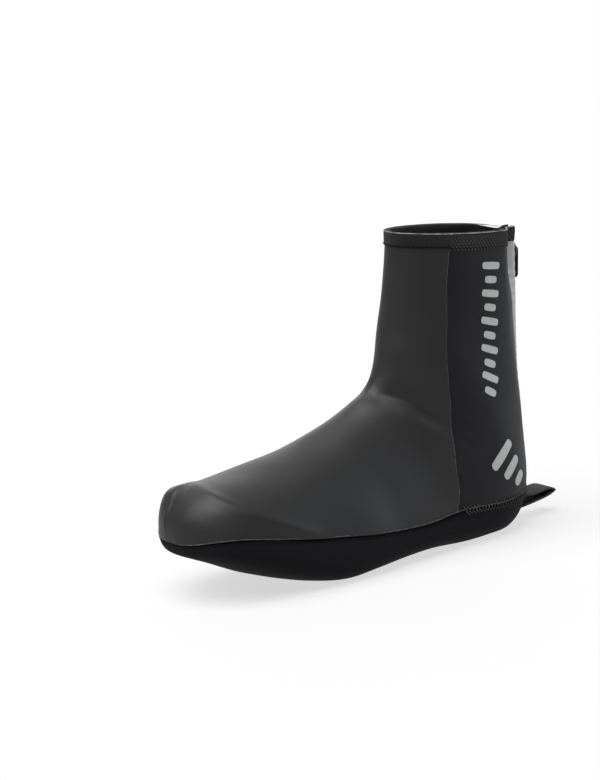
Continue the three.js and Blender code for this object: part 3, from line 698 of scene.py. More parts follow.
def lining_cloth():
    finish = Finish("lining_cloth", (0.015, 0.015, 0.016), 0.9, sheen=0.3, specular=0.2)
    fuzz = finish.noise(finish.place(), 900, 4)
    finish.colour(fuzz, (0.008, 0.008, 0.009), (0.02, 0.02, 0.022))
    finish.bump(fuzz, 0.4)
    return finish.made


def twill_cloth():
    """Coarse matt twill of the sole, with diagonal ribs broken by the weft."""
    finish = Finish("twill_cloth", (0.004, 0.004, 0.005), 0.85, specular=0.12)
    ribs = finish.wave(finish.turned(finish.uv(), 38), 196, "X", 0.6)
    height = finish.blend(ribs, finish.wave(finish.uv(), 420, "Y", 0.8), 0.35)
    finish.colour(height, (0.0025, 0.0025, 0.0032), (0.006, 0.006, 0.0075))
    finish.bump(height, 0.16)
    return finish.made


def knit_band():
    finish = Finish("knit_band", (0.009, 0.009, 0.0095), 0.8, sheen=0.05, specular=0.2)
    ribs = finish.wave(finish.uv(), 500, "X", 2.0)
    finish.colour(ribs, (0.006, 0.006, 0.0065), (0.012, 0.012, 0.013))
    finish.bump(finish.blend(ribs, finish.wave(finish.uv(), 700, "Y", 2.0), 1), 0.15)
    return finish.made


def dark_thread():
    finish = Finish("thread", (0.003, 0.003, 0.003), 0.8, specular=0.1)
    twist = finish.noise(finish.place(), 3500, 2)
    finish.colour(twist, (0.002, 0.002, 0.002), (0.005, 0.005, 0.005))
    finish.bump(twist, 0.1)
    return finish.made


def light_thread(name, low, high):
    """Worn light grey thread and cut cloth edges; with bright colours it also makes the painted highlight
    along the collar's rim.
    """
    finish = Finish(name, (high, high, high), 0.7, sheen=0.2)
    worn = finish.noise(finish.place(), 900, 4)
    finish.colour(worn, (low, low, low), (high, high, high))
    finish.bump(worn, 0.2)
    return finish.made


def reflective_film():
    """Warm grey reflective film with a fine beaded grain."""
    finish = Finish("reflective_film", (0.36, 0.36, 0.35), 0.45, metallic=0.25)
    cloudy = finish.noise(finish.place(), 300, 3)
    finish.colour(cloudy, (0.31, 0.31, 0.3), (0.42, 0.42, 0.41))
    finish.rough(cloudy, 0.38, 0.55)
    finish.bump(finish.cells(finish.place(), 4000), 0.03)
    return finish.made


def webbing_cloth():
    """Ribbed webbing with one rib across for each weft thread."""
    finish = Finish("webbing_cloth", (0.04, 0.04, 0.042), 0.9, specular=0.12)
    ribs = finish.wave(finish.uv(), 150, "Y", 0.3)
    height = finish.blend(ribs, finish.wave(finish.uv(), 900, "X", 0.8), 0.3)
    finish.colour(height, (0.018, 0.018, 0.019), (0.07, 0.07, 0.073))
    finish.bump(height, 0.3)
    return finish.made


def woven_tape():
    finish = Finish("woven_tape", (0.008, 0.008, 0.009), 0.85, sheen=0.2, specular=0.3)
    ribs = finish.wave(finish.uv(), 380, "X", 0.5)
    finish.colour(ribs, (0.005, 0.005, 0.006), (0.013, 0.013, 0.014))
    finish.bump(finish.blend(ribs, finish.wave(finish.uv(), 600, "Y", 0.5), 1), 0.15)
    return finish.made


def coil_plastic():
    finish = Finish("coil_plastic", (0.012, 0.012, 0.013), 0.4)
    finish.rough(finish.noise(finish.place(), 900, 2), 0.32, 0.5)
    return finish.made


def enamelled_metal():
    finish = Finish("enamelled_metal", (0.03, 0.03, 0.031), 0.35, metallic=0.7)
    worn = finish.noise(finish.place(), 700, 4)
    finish.colour(worn, (0.018, 0.018, 0.019), (0.06, 0.06, 0.061))
    finish.rough(worn, 0.26, 0.46)
    return finish.made


def studio_paper():
    finish = Finish("studio_paper", (0.15, 0.15, 0.15), 0.9, specular=0.1)
    finish.sockets["Emission Color"].default_value = (1, 1, 1, 1)
    finish.sockets["Emission Strength"].default_value = 0.65
    finish.colour(finish.noise(finish.place(), 3, 2), (0.145, 0.145, 0.145), (0.155, 0.155, 0.155))
    return finish.made


COATED = coated_cloth()
STRETCH = stretch_cloth()
LINING = lining_cloth()
TWILL = twill_cloth()
KNIT = knit_band()
THREAD = dark_thread()
EDGE = light_thread("light_thread", 0.005, 0.05)
# Painted highlight: a light colour that stands in for the lit fold of the collar's rim, not a thread of the
# shoe
RIM_PAINTED_HIGHLIGHT = light_thread("rim_painted_highlight", 0.08, 0.3)
FILM = reflective_film()
WEBBING = webbing_cloth()
TAPE = woven_tape()
COIL = coil_plastic()
METAL = enamelled_metal()
PAPER = studio_paper()


def settle(piece, body, slot, *replaced):
    """Ties a piece to its body and hides the solids that it stands for; the finish (slot) is not used."""
    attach(piece, body)
    if replaced:
        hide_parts(*replaced)
    return piece


# Upper
ROW_STRIDE = 1.85
FRONT_COLUMNS = 42
REAR_COLUMNS = 38
UPPER_CURL = 0.3
SOLE_CURL = 1.1
EDGE_CURL_WIDTH = 1.1
GROOVE_DEPTH = 0.25
GROOVE_WIDTH = 0.5
rows = row_positions(ROW_STRIDE)


def upper_angles():
    """Angles of the upper's columns, how far each is behind the side seam and how far from the border."""
    halves = []
    for key in ("inner_edge", "outer_edge"):
        seam = seam_angle(rows, key)
        border = border_angle(rows, key)
        front, front_length = spread_angles(rows, np.zeros_like(rows), seam, eased(FRONT_COLUMNS, 0.6))
        rear, rear_length = spread_angles(rows, seam, border, eased(REAR_COLUMNS, 0.6))
        angles = np.concatenate([front, rear[:, 1:]], axis=1)
        behind = np.concatenate([
            (eased(FRONT_COLUMNS, 0.6)[None] - 1) * front_length[:, None],
            eased(REAR_COLUMNS, 0.6)[None, 1:] * rear_length[:, None],
        ], axis=1)
        inside = rear_length[:, None] - behind
        halves.append((angles, behind, inside))
    left, right = halves
    joined = []
    for k in range(3):
        sign = -1 if k == 0 else 1
        joined.append(np.concatenate([sign * left[k][:, ::-1], right[k][:, 1:]], axis=1))
    return joined


def make_upper():
    angles, behind, inside = upper_angles()
    s = rows[:, None] + np.zeros_like(angles)
    base = form_point(s, angles)
    out = form_normal(s, angles)
    folds = relief(s, angles)
    step = FRONT_PANEL_STEP * (1 - smoothstep(-0.25, 0.25, behind)) * smoothstep(-1, 1, inside)
    step = np.where(s > SEAM_START, step, FRONT_PANEL_STEP)
    groove = -GROOVE_DEPTH * np.exp(-((behind - GROOVE_WIDTH) / GROOVE_WIDTH) ** 2) * (s > SEAM_START)
    curl = -UPPER_CURL * np.exp(-np.maximum(inside, 0) / EDGE_CURL_WIDTH) * (s < ZIP_ROW)
    outer = base + out * (folds + step + groove + curl)[..., None] + LIFT
    inner = base + out * (folds - UPPER_WALL)[..., None] + LIFT
    slots = np.full(angles.shape[1] - 1, 1)
    slots[REAR_COLUMNS:-REAR_COLUMNS] = 0
    piece = closed_sheet("upper_shell", outer, inner, [COATED, STRETCH, LINING], slots, 2, sharp=60)
    return settle(piece, "cover", "upper_fabric", "upper")


upper = make_upper()


# Sole
SOLE_COLUMNS = 96
ARCH_START = -60
ARCH_TOP = 30
ARCH_END = 75
ARCH_FADE = 18
ARCH_HEIGHT = 2.8
TOE_START = -118
TOE_END = -160
TOE_LOW = 20
TOE_HIGH = 44
TOE_TUCK = 4.5
HOLE_POINTS = 120
CUTTER_LOW = -5
CUTTER_HIGH = 30


def hole_outline(length, width, centre):
    turn = np.linspace(0, 2 * math.pi, HOLE_POINTS, endpoint=False)
    power = 2 / HOLE_SQUARENESS
    x = width / 2 * np.sign(np.cos(turn)) * np.abs(np.cos(turn)) ** power
    y = length / 2 * np.sign(np.sin(turn)) * np.abs(np.sin(turn)) ** power
    return np.stack([x + SHIFT[0], y + centre + SHIFT[1]], -1)


HOLES = {
    "cleat": (CLEAT_LENGTH, CLEAT_WIDTH, CLEAT_CENTRE),
    "heel": (HEEL_HOLE_LENGTH, HEEL_HOLE_WIDTH, FORM_LENGTH - HEEL_HOLE_SETBACK),
}


def hole_cutter(name, size):
    outline = hole_outline(*size)
    count = len(outline)
    bottom = np.column_stack([outline, np.full(count, CUTTER_LOW)])
    top = np.column_stack([outline, np.full(count, CUTTER_HIGH)])
    faces = [(k, (k + 1) % count, (k + 1) % count + count, k + count) for k in range(count)]
    faces += [tuple(reversed(range(count))), tuple(range(count, 2 * count))]
    return make_object(name, np.concatenate([bottom, top]), faces, [TWILL])


def arch_lift(places):
    """The cloth hangs clear of the floor under the middle of the foot and is drawn up under the toe."""
    y = places[..., 1]
    z = places[..., 2]
    toe = smoothstep(TOE_START, TOE_END, y) * (1 - smoothstep(TOE_LOW, TOE_HIGH, z))
    along = smoothstep(ARCH_START, ARCH_TOP, y) * (1 - smoothstep(ARCH_TOP, ARCH_END, y))
    low = 1 - smoothstep(0, ARCH_FADE, z)
    return (ARCH_HEIGHT * along * low + TOE_TUCK * toe)[..., None] * np.array([0.0, 0, 1])


def make_sole():
    own = rows[rows <= HEEL_ROW + TINY]
    outer_edge = edge_angle(own, "outer_edge")
    inner_edge = edge_angle(own, "inner_edge")
    shares = eased(SOLE_COLUMNS, 0.55)
    angles, length = spread_angles(own, outer_edge, 2 * math.pi - inner_edge, shares)
    s = own[:, None] + np.zeros_like(angles)
    base = form_point(s, angles)
    out = form_normal(s, angles)
    inside = np.minimum(shares, 1 - shares)[None] * length[:, None]
    curl = -SOLE_CURL * np.exp(-inside / EDGE_CURL_WIDTH)
    arch = arch_lift(base)
    outer = base + out * curl[..., None] + arch
    inner = base - out * SOLE_WALL + arch
    piece = closed_sheet("sole_shell", outer, inner, [TWILL, LINING], None, 1, sharp=60)
    for name, size in HOLES.items():
        cutter = hole_cutter(f"{name}_cutter", size)
        cut = piece.modifiers.new(name, "BOOLEAN")
        cut.operation = "DIFFERENCE"
        cut.solver = "EXACT"
        cut.object = cutter
        bpy.context.view_layer.update()
        result = piece.evaluated_get(bpy.context.evaluated_depsgraph_get())
        mesh = bpy.data.meshes.new_from_object(result)
        piece.modifiers.clear()
        piece.data = mesh
        bpy.data.objects.remove(cutter)
    return settle(piece, "cover", "sole_fabric", "sole")


make_sole()


# Binding
BINDING_COLUMNS = 60
BINDING_PROFILE = 11
RIM_RISE = 2.2
BAND_DEPTHS = np.array([BINDING_HEIGHT, 8.1, 7.4, 6.5, 5, 3.5, 2, 1])
BAND_SWELLS = np.array([0.12, 0.3, 0.42, 0.5, 0.6, 0.7, 0.8, 0.85])


def collar_line():
    """Angles round the collar from one side of the zip to the other, and their share of the front panel."""
    s = np.array([float(COLLAR)])
    found = []
    for key, sign in (("inner_edge", -1), ("outer_edge", 1)):
        seam = seam_angle(s, key)
        border = border_angle(s, key)
        front, _ = spread_angles(s, np.zeros(1), seam, eased(BINDING_COLUMNS, 0.5))
        rear, _ = spread_angles(s, seam, border, eased(BINDING_COLUMNS, 0.5))
        found.append((sign * front[0], sign * rear[0]))
    (left_front, left_rear), (right_front, right_rear) = found
    angles = np.concatenate([left_rear[::-1], left_front[::-1][1:], right_front[1:], right_rear[1:]])
    ahead = np.zeros(len(angles))
    ahead[BINDING_COLUMNS:-BINDING_COLUMNS] = 1
    blend = np.array([0.25, 0.5, 0.25])
    return angles, np.convolve(np.pad(ahead, 1, mode="edge"), blend, mode="valid")


def collar_rows_below(angles, distance):
    step = 0.06
    top = form_point(float(COLLAR), angles)
    speed = np.linalg.norm(top - form_point(COLLAR - step, angles), axis=-1) / step
    return COLLAR - distance / speed


def make_binding():
    angles, ahead = collar_line()
    out = form_normal(float(COLLAR), angles)
    top = form_point(float(COLLAR), angles) + out * relief(float(COLLAR) + 0 * angles, angles)[:, None]
    up = unit(top - form_point(COLLAR - 0.05, angles))
    proud = FRONT_PANEL_STEP * ahead + GAP * 0.4
    sunk = -UPPER_WALL - GAP * 0.4

    def leg(heights, depths):
        columns = []
        for height, depth in zip(heights, depths):
            columns.append(cloth_point(collar_rows_below(angles, depth), angles, height) - LIFT)
        return columns

    def dome(near, far, rise):
        columns = []
        for turn in np.linspace(0, math.pi, BINDING_PROFILE)[1:-1]:
            side = np.sign(math.cos(turn)) * abs(math.cos(turn)) ** 0.8
            distance = (near + far) / 2 + (near - far) / 2 * side
            height = rise * abs(math.sin(turn)) ** 0.8
            columns.append(top + out * distance[:, None] + up * height)
        return columns

    fullest = BAND_SWELLS[-1]
    outer = leg([proud + swell for swell in BAND_SWELLS], BAND_DEPTHS)
    outer += dome(proud + fullest, sunk - fullest + 0 * proud, RIM_RISE)
    outer += leg([sunk - swell for swell in BAND_SWELLS[::-1]], BAND_DEPTHS[::-1])
    inner = leg([proud] * len(BAND_DEPTHS), BAND_DEPTHS)
    inner += dome(proud, sunk + 0 * proud, GAP)
    inner += leg([sunk] * len(BAND_DEPTHS), BAND_DEPTHS[::-1])
    outer = np.stack(outer, axis=1) + LIFT
    inner = np.stack(inner, axis=1) + LIFT
    piece = closed_sheet("collar_band", outer, inner, [KNIT], sharp=70)
    return settle(piece, "cover", "binding_fabric", "collar_binding")


make_binding()


# Zip: the tape starts under the coil, and the coil ends on a stop
TAPE_START = ZIP_ROW - 0.12
ZIP_START = ZIP_ROW + 0.06
ZIP_TOP = float(collar_rows_below(np.array([math.pi]), BINDING_HEIGHT + GAP)[0])
COIL_TOP = float(collar_rows_below(np.array([math.pi]), COIL_TOP_MARGIN)[0])
TOOTH_PITCH = 1.5
STOP_ROWS = (ZIP_ROW - 0.02, ZIP_ROW + 0.015, ZIP_ROW + 0.05)
STOP_RADIUS = 1.1
# One tooth: distance from the middle, height and thickness
TOOTH = (
    (COIL_WIDTH / 2, -0.45, 0.36),
    (COIL_WIDTH / 2 - 0.15, 0.25, 0.4),
    (1.6, 0.5, 0.4),
    (0.4, 0.5, 0.42),
    (-0.5, 0.35, 0.5),
    (-0.85, 0.0, 0.3),
)


def back_place(s, x, distance):
    """Points near the back at a distance x from its middle and a distance out of the cloth."""
    s, x = np.broadcast_arrays(np.asarray(s, float), np.asarray(x, float))
    angle = back_angle(s, np.abs(x))
    return cloth_point(s, np.where(x < 0, 2 * math.pi - angle, angle), distance)


def back_rows(start, end, count):
    """Evenly spaced rows up the back."""
    s = np.linspace(start, end, 400)
    places = form_point(s, math.pi)
    walked = np.concatenate([[0], np.cumsum(np.linalg.norm(np.diff(places, axis=0), axis=1))])
    return np.interp(np.linspace(0, walked[-1], count), walked, s), walked[-1]


def make_coil():
    _, length = back_rows(ZIP_START, COIL_TOP, 2)
    count = int(length / TOOTH_PITCH)
    spots, _ = back_rows(ZIP_START, COIL_TOP, 2 * count)
    bundle = Bundle()
    middle = -COIL_SINK - COIL_DEPTH / 2
    for k, s in enumerate(spots[1:-1]):
        side = 1 if k % 2 else -1
        centre = back_place(s, 0, middle)
        out = form_normal(s, math.pi)
        span = np.array([1.0, 0, 0])
        path = [centre + span * side * x + out * lift for x, lift, _ in TOOTH]
        bundle.tube(path, [thickness for _, _, thickness in TOOTH], sides=6, up=out)
    half = np.array([COIL_WIDTH / 2, 0, 0])
    for s in STOP_ROWS:
        stop = back_place(s, 0, middle)
        bundle.tube([stop - half, stop, stop + half], STOP_RADIUS, sides=10, up=form_normal(s, math.pi))
    piece = bundle.make("zip_teeth", COIL)
    return settle(piece, "cover", "zip_coil", "zip_coil")


def make_tape(side, sign):
    spots, _ = back_rows(TAPE_START, ZIP_TOP, 90)
    lines = np.concatenate([[GAP, 1.2, 2.2, ZIP_SLOT / 2], np.linspace(4.5, TAPE_WIDTH, 8)])
    floor = -max(COIL_SINK + COIL_DEPTH, UPPER_WALL) - GAP

    def grid(distance):
        return back_place(spots[:, None], sign * lines[None], distance)

    piece = closed_sheet(f"tape_{side}", grid(floor), grid(floor - TAPE_WALL), [TAPE])
    return settle(piece, "cover", "zip_tape", f"zip_tape_{side}")


def make_strip(side, sign):
    """Reflective strip whose outer edge follows the stretch of the seam in small waves."""
    spots, length = back_rows(ZIP_START, ZIP_TOP, 260)
    near = ZIP_SLOT / 2 + GAP
    shares = np.array([0, 0.04, 0.12, 0.24, 0.36, 0.5, 0.64, 0.76, 0.88, 0.96, 1])
    crown = np.array([0.35, 0.8, 1, 1, 1, 1, 1, 1, 1, 0.8, 0.35])
    run = np.linspace(0, length, len(spots))
    high = smoothstep(length * 0.55, length, run)
    waves = np.sin(run / 1.05) + 0.5 * np.sin(run / 1.9 + 1)
    edge = (0.15 + 0.45 * high) * waves
    x = near + shares[None] * STRIP_WIDTH + edge[:, None] * smoothstep(0.4, 1, shares)[None]
    buckle = (0.1 + 0.45 * high)[:, None] * np.sin(run[:, None] / 1.05 + 1.2 + 1.5 * shares[None])
    bow = np.sin(math.pi * shares)[None]
    inner = back_place(spots[:, None], sign * x, GAP * 0.5)
    outer = back_place(spots[:, None], sign * x, GAP * 0.5 + STRIP_WALL * crown[None] + (buckle + 0.45) * bow)
    piece = closed_sheet(f"bright_strip_{side}", outer, inner, [FILM])
    return settle(piece, "cover", "reflective", f"reflective_strip_{side}")


make_coil()
for side_name, side_sign in (("outer", 1), ("inner", -1)):
    make_tape(side_name, side_sign)
    make_strip(side_name, side_sign)


# Slider and pull tab
SLIDER_ROUNDING = 0.25
TAB_ROUNDING = 0.22
FLAT_ANGLE = math.radians(2)
CORNER_ANGLE = math.radians(35)


def softened(node, name, width, body):
    """A copy of a rigid node with small rounded edges."""
    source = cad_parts[node]
    piece = bpy.data.objects.new(name, source.data.copy())
    bpy.context.scene.collection.objects.link(piece)
    work = bmesh.new()
    work.from_mesh(piece.data)
    bmesh.ops.remove_doubles(work, verts=work.verts, dist=1e-6)
    bmesh.ops.dissolve_limit(work, angle_limit=FLAT_ANGLE, verts=work.verts, edges=work.edges)
    sharp = [e for e in work.edges if len(e.link_faces) == 2 and e.calc_face_angle() > CORNER_ANGLE]
    bmesh.ops.bevel(work, geom=sharp, offset=width * MM, segments=3, profile=0.5, affect="EDGES",
                    clamp_overlap=True)
    for face in work.faces:
        face.smooth = True
    work.to_mesh(piece.data)
    work.free()
    piece.data.set_sharp_from_angle(angle=math.radians(45))
    piece.data.materials.clear()
    piece.data.materials.append(METAL)
    return settle(piece, body, "zip_metal", node)


softened("zip_slider", "slider", SLIDER_ROUNDING, "cover")
softened("zip_pull_tab", "pull_tab_plate", TAB_ROUNDING, "pull_tab")


# Seams and stitches, and a painted highlight along the collar's rim
STITCH = 0.3
SEAM_THREAD = 0.24
CUT_EDGE_RISE = 0.75
HEM_RISE = -1.6
HEM_DASH = 1.8
HEM_SPACE = 1.0
# Rows of the band of stitches round the heel: rise over the sole's edge and height over the form
HEEL_ROWS = ((2.6, 0.35), (-0.4, 0.35), (-3.4, 0.3))
HEEL_PITCH = 3.0
FRONT_STITCH_DEPTH = 7.6
FRONT_DASH = 2.2
FRONT_SPACE = 1.2
NET_DEPTHS = (1.8, 3.8, 5.8, 7.8, 9.8)
NET_REACH = 0.6
NET_PITCH = 2.9


def rise_path(key, sign, start, rise, height):
    """Path at a rise over the sole's edge, from a row position to the middle of the heel."""
    end = solve(back_height, HEEL_EDGE + rise, SEAM_START, COLLAR)
    s = np.linspace(start, end, 900)
    angle = edge_angle(s, key, rise)
    places = form_point(s, sign * angle) + form_normal(s, sign * angle) * height
    return places + (LIFT if rise > 0 else 0)


def zigzag(first, second, pitch):
    length = np.sum(np.linalg.norm(np.diff(first, axis=0), axis=1))
    count = 2 * int(length / pitch) + 1
    odd = (np.arange(count) % 2)[:, None]
    return np.where(odd, resample(second, count=count), resample(first, count=count))


def dashes(path, length, gap):
    """Short stretches of a path."""
    fine = resample(path, spacing=length / 4)
    stride = 4 + max(1, int(round(gap / (length / 4))))
    return [fine[k:k + 5] for k in range(0, len(fine) - 5, stride)]


def uneven(count, size, seed):
    """Thickness of a thread that swells and thins out."""
    k = np.arange(count)
    return size * (1 + 0.3 * np.sin(k * 0.7 + seed) + 0.25 * np.sin(k * 0.31 + 2 * seed))


def pairs_along(first, second, pitch, shift):
    """Short slanted stitches between two paths."""
    length = np.sum(np.linalg.norm(np.diff(first, axis=0), axis=1))
    count = int(length / pitch)
    fine = 8
    first = resample(first, count=fine * count + 1)
    second = resample(second, count=fine * count + 1)
    places = np.arange(count - 1) * fine + int(shift * fine)
    return [(first[k], second[k + 2]) for k in places]


def make_side_seams():
    bundle = Bundle()
    top = float(collar_rows_below(np.array([1.2]), BINDING_HEIGHT + 1)[0])
    s = np.linspace(SEAM_START + 0.02, top, 330)
    for key, sign in (("inner_edge", -1), ("outer_edge", 1)):
        path = cloth_point(s, sign * seam_angle(s, key), FRONT_PANEL_STEP * 0.75)
        low = 1 - smoothstep(95, 120, path[:, 2])
        high = smoothstep(175, 195, path[:, 2])
        shows = 0.35 + 0.65 * np.maximum(low, high)
        bundle.tube(path, uneven(len(path), SEAM_THREAD, sign) * shows)
    settle(bundle.make("side_seam_edges", EDGE), "cover", "binding_fabric")


def make_sole_seam():
    """Cut edge of the upper, the band of stitches round the heel and the dark stitches of the hem."""
    light = Bundle()
    dark = Bundle()
    heel = SEAM_START + 0.35
    for key, sign in (("inner_edge", -1), ("outer_edge", 1)):
        edge = resample(rise_path(key, sign, 0.05, CUT_EDGE_RISE, FRONT_PANEL_STEP - 0.15), spacing=0.9)
        light.tube(edge, uneven(len(edge), STITCH, sign))
        lines = [rise_path(key, sign, heel, rise, height) for rise, height in HEEL_ROWS]
        for first, second in zip(lines, lines[1:]):
            light.tube(zigzag(first, second, HEEL_PITCH), STITCH)
        for path in dashes(rise_path(key, sign, 0.1, HEM_RISE, 0.1), HEM_DASH, HEM_SPACE):
            dark.tube(path, STITCH)
    settle(light.make("sole_seam_edges", EDGE), "cover", "binding_fabric")
    settle(dark.make("sole_seam_stitches", THREAD), "cover", "sole_fabric")


def make_collar_stitches_and_rim_highlight():
    angles, ahead = collar_line()
    front = ahead > 0.99
    step = FRONT_PANEL_STEP * ahead
    dark = Bundle()
    light = Bundle()
    bright = Bundle()
    line = cloth_point(collar_rows_below(angles, FRONT_STITCH_DEPTH), angles, step + 0.62)
    for path in dashes(line[front], FRONT_DASH, FRONT_SPACE):
        dark.tube(path, STITCH * 1.9, sides=6)
    for side in (angles < 0, angles > 0):
        rear = side & ~front
        for level, depth in enumerate(NET_DEPTHS):
            height = 0.95 - 0.06 * depth + GAP * 0.4
            ends = []
            for reach in (-NET_REACH, NET_REACH):
                ends.append(cloth_point(collar_rows_below(angles, depth + reach), angles, height)[rear])
            for first, second in pairs_along(*ends, NET_PITCH, 0.5 * (level % 2)):
                light.tube(np.stack([first, (first + second) / 2, second]), STITCH * 0.85)
    # A light tube along the top of the collar band: a painted highlight that stands in for the lit fold of
    # the rim
    up = unit(form_point(float(COLLAR), angles) - form_point(COLLAR - 0.05, angles))
    rim = cloth_point(float(COLLAR), angles, step + 0.75) + up * RIM_RISE * 0.72
    bright.tube(rim, uneven(len(rim), STITCH, 1))
    settle(bright.make("collar_rim_painted_highlight", RIM_PAINTED_HIGHLIGHT), "cover", "binding_fabric")
    settle(dark.make("collar_stitches_front", THREAD), "cover", "binding_fabric")
    settle(light.make("collar_stitches_light", EDGE), "cover", "binding_fabric")


make_side_seams()
make_sole_seam()
make_collar_stitches_and_rim_highlight()


# Reflective bars on the outer rear panel: their middle in Y and Z, and their tilt in degrees
BAR_COLUMNS = ("y", "z", "length", "height", "tilt")
BARS = (
    (107.2, 194, 17.5, 5.2, -11),
    (105.6, 184.3, 12, 5.2, -12),
    (104.2, 174.6, 17.5, 5.2, -14),
    (102.6, 164.9, 12, 5.2, -16),
    (101.2, 155.2, 17.5, 5.2, -18),
    (99.6, 145.5, 12, 5.2, -20),
    (98.2, 135.8, 17.5, 5.2, -22),
    (96.6, 126.1, 12, 5.2, -25),
    (95.2, 116.4, 17.5, 5.2, -28),
    (93.2, 106.7, 12, 5.2, -31),
    (98, 60, 26, 7.5, 38),
    (107, 49, 20, 7.5, 38),
    (116, 39, 12, 7.5, 38),
)
BAR_STEPS = 24
BAR_CROSS = 10
BAR_SQUARENESS = 0.25
BAR_TOP = 0.16
BAR_BASE = 0.03
RAY_START = 200


def skin_points(tree, y, z, height):
    """Points over the outer side at given Y and Z."""
    found = []
    for a, b in zip(y.ravel(), z.ravel()):
        place, out, _, _ = tree.ray_cast(Vector((RAY_START, a, b)) * MM, Vector((-1, 0, 0)))
        found.append(np.array(place) / MM + np.array(out) * height)
    return np.array(found).reshape(*y.shape, 3)


def make_bars():
    bpy.context.view_layer.update()
    tree = BVHTree.FromObject(upper, bpy.context.evaluated_depsgraph_get())
    u, v = np.meshgrid(np.linspace(-1, 1, BAR_STEPS), np.linspace(-1, 1, BAR_CROSS), indexing="ij")
    slab = np.concatenate(slab_faces(BAR_STEPS, BAR_CROSS))
    points = []
    faces = []
    for number, values in enumerate(BARS):
        bar = dict(zip(BAR_COLUMNS, values))
        pull = 1 - BAR_SQUARENESS * (u * v) ** 2 * min(1, bar["height"] / bar["length"] * 1.5)
        along = u * pull * bar["length"] / 2
        across = v * pull * bar["height"] / 2
        turn = math.radians(bar["tilt"])
        y = bar["y"] + along * math.cos(turn) - across * math.sin(turn)
        z = bar["z"] + along * math.sin(turn) + across * math.cos(turn)
        for height in (BAR_TOP, BAR_BASE):
            points.append(skin_points(tree, y, z, height).reshape(-1, 3))
        faces.append(slab + number * 2 * BAR_STEPS * BAR_CROSS)
    piece = make_object("reflective_bars", np.concatenate(points), np.concatenate(faces), [FILM])
    settle(piece, "cover", "reflective")


make_bars()


# Pull loop: the leg that a point is measured from, and its shares of the loop's reach and rise
SCALLOP = 0.25
SCALLOP_TURN = 1.28
LOOP_PATH = (
    ("top", 0.35, -0.35),
    ("top", 0.95, -0.05),
    ("top", 1.14, -0.4),
    ("top", 0.98, -0.85),
    ("low", 0.55, 0.35),
)


def catmull(points, count):
    """Evenly spaced points on a centripetal curve through points, as the solid's path has."""
    points = [np.asarray(p, float) for p in points]
    points = [2 * points[0] - points[1]] + points + [2 * points[-1] - points[-2]]
    line = []
    for p0, p1, p2, p3 in zip(points, points[1:], points[2:], points[3:]):
        knots = [0.0]
        for a, b in ((p0, p1), (p1, p2), (p2, p3)):
            knots.append(knots[-1] + math.sqrt(np.linalg.norm(b - a)))
        for t in np.linspace(knots[1], knots[2], 30, endpoint=False):
            a1 = between(p0, p1, (t - knots[0]) / (knots[1] - knots[0]))
            a2 = between(p1, p2, (t - knots[1]) / (knots[2] - knots[1]))
            a3 = between(p2, p3, (t - knots[2]) / (knots[3] - knots[2]))
            b1 = between(a1, a2, (t - knots[0]) / (knots[2] - knots[0]))
            b2 = between(a2, a3, (t - knots[1]) / (knots[3] - knots[1]))
            line.append(between(b1, b2, (t - knots[1]) / (knots[2] - knots[1])))
    line.append(points[-2])
    return resample(line, count=count)


def make_loop():
    def root(height):
        s = solve(back_height, height, SEAM_START + 1, HEEL_ROW + 1)
        return form_point(s, math.pi)

    roots = {"top": root(LOOP_TOP_ROOT), "low": root(LOOP_LOW_ROOT)}
    sink = np.array([0, SOLE_WALL * 0.5, 0])
    middle = [roots[leg] + np.array([0, out * LOOP_REACH, up * LOOP_RISE]) for leg, out, up in LOOP_PATH]
    path = catmull([roots["top"] - sink, *middle, roots["low"] - sink], 140)
    tangent = unit(np.gradient(path, axis=0))
    aside = np.cross(tangent, np.array([1.0, 0, 0]))
    shares = np.linspace(-1, 1, 25)
    edge = np.sqrt(1 - np.abs(shares) ** 10)
    run = np.linspace(0, len(path), len(path))
    half = LOOP_WIDTH / 2 + SCALLOP * np.sin(run * SCALLOP_TURN)
    across = np.array([1.0, 0, 0])
    outer = path[:, None] + across * (shares[None, :] * half[:, None])[..., None]
    thick = LOOP_WALL / 2 * (0.35 + 0.65 * edge)
    front = outer + aside[:, None] * thick[None, :, None]
    back = outer - aside[:, None] * thick[None, :, None]
    piece = closed_sheet("webbing_loop", front, back, [WEBBING], sharp=70)
    return settle(piece, "cover", "webbing", "pull_loop")


make_loop()


# Studio
def make_stage():
    half = 3000
    corners = [(-half, -half, 0), (half, -half, 0), (half, half, 0), (-half, half, 0)]
    floor = make_object("floor", corners, [(0, 1, 2, 3)], [PAPER])


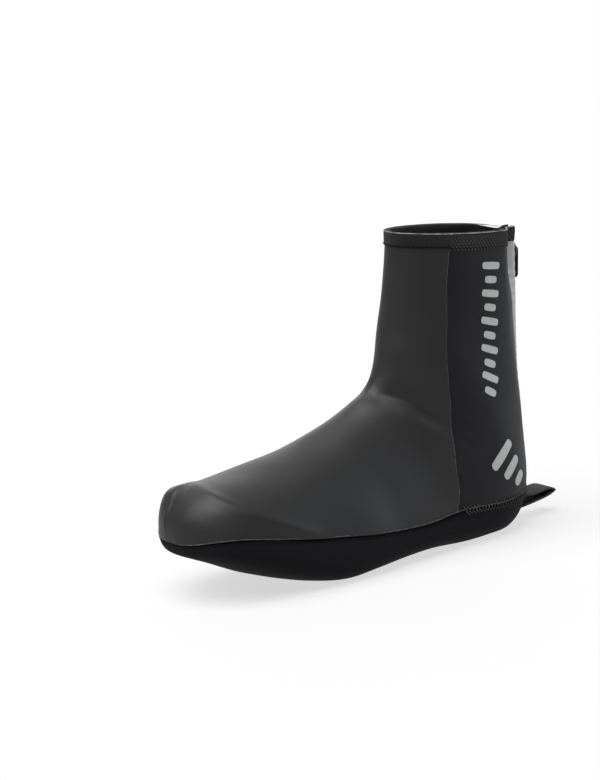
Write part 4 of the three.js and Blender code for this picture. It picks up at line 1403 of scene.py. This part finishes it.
def add_sky(name, source, width, strength, colour=(1, 1, 1)):
    """A wide soft light from one direction, even over the whole floor."""
    data = bpy.data.lights.new(name, "SUN")
    data.color = colour
    data.angle = math.radians(width)
    data.energy = strength
    light = bpy.data.objects.new(name, data)
    light.rotation_euler = (-Vector(source)).to_track_quat("-Z", "Y").to_euler()
    bpy.context.scene.collection.objects.link(light)


def make_lights():
    add_sky("window behind the inner side", (-0.8, 0.55, 0.38), 50, 1.25)
    add_sky("window behind the heel", (0.3, 0.95, 0.25), 36, 1.1, (0.85, 0.9, 1))
    add_sky("soft ceiling", (0.0, -0.4, 1.0), 62, 6.6)
    world = bpy.data.worlds.new("studio")
    world.use_nodes = True
    background = world.node_tree.nodes["Background"]
    background.inputs["Color"].default_value = (1, 1, 1, 1)
    background.inputs["Strength"].default_value = 0.08
    bpy.context.scene.world = world


# Camera: it looks at the shaft from the outer front, as the photograph does
CAMERA_AZIMUTH = 54.78
CAMERA_ELEVATION = 13.18
CAMERA_ROLL = 4.6
CAMERA_DISTANCE = 3500
CAMERA_LENS = 231.0
CAMERA_SCALE = 1.43
AIM_HEIGHT = 100
AIM_RIGHT = 42.35 / CAMERA_SCALE
AIM_DOWN = 31.73 / CAMERA_SCALE


def make_camera():
    azimuth = math.radians(CAMERA_AZIMUTH)
    elevation = math.radians(CAMERA_ELEVATION)
    roll = math.radians(CAMERA_ROLL)
    back = Vector((
        math.sin(azimuth) * math.cos(elevation),
        -math.cos(azimuth) * math.cos(elevation),
        math.sin(elevation),
    ))
    right = Vector((0, math.sin(roll), math.cos(roll))).cross(back).normalized()
    up = back.cross(right)
    aim = Vector((SHIFT[0], SHIFT[1] + 150, AIM_HEIGHT))
    place = aim + back * CAMERA_DISTANCE - right * AIM_RIGHT + up * AIM_DOWN
    data = bpy.data.cameras.new("camera")
    data.sensor_width = 36
    data.lens = CAMERA_LENS
    data.clip_start = 0.1
    data.clip_end = 20
    camera = bpy.data.objects.new("camera", data)
    turned = Matrix((right, up, back)).transposed().to_4x4()
    camera.matrix_world = Matrix.Translation(place * MM) @ turned
    bpy.context.scene.collection.objects.link(camera)
    bpy.context.scene.camera = camera


make_stage()
make_lights()
make_camera()
bpy.context.scene.view_settings.view_transform = "Standard"
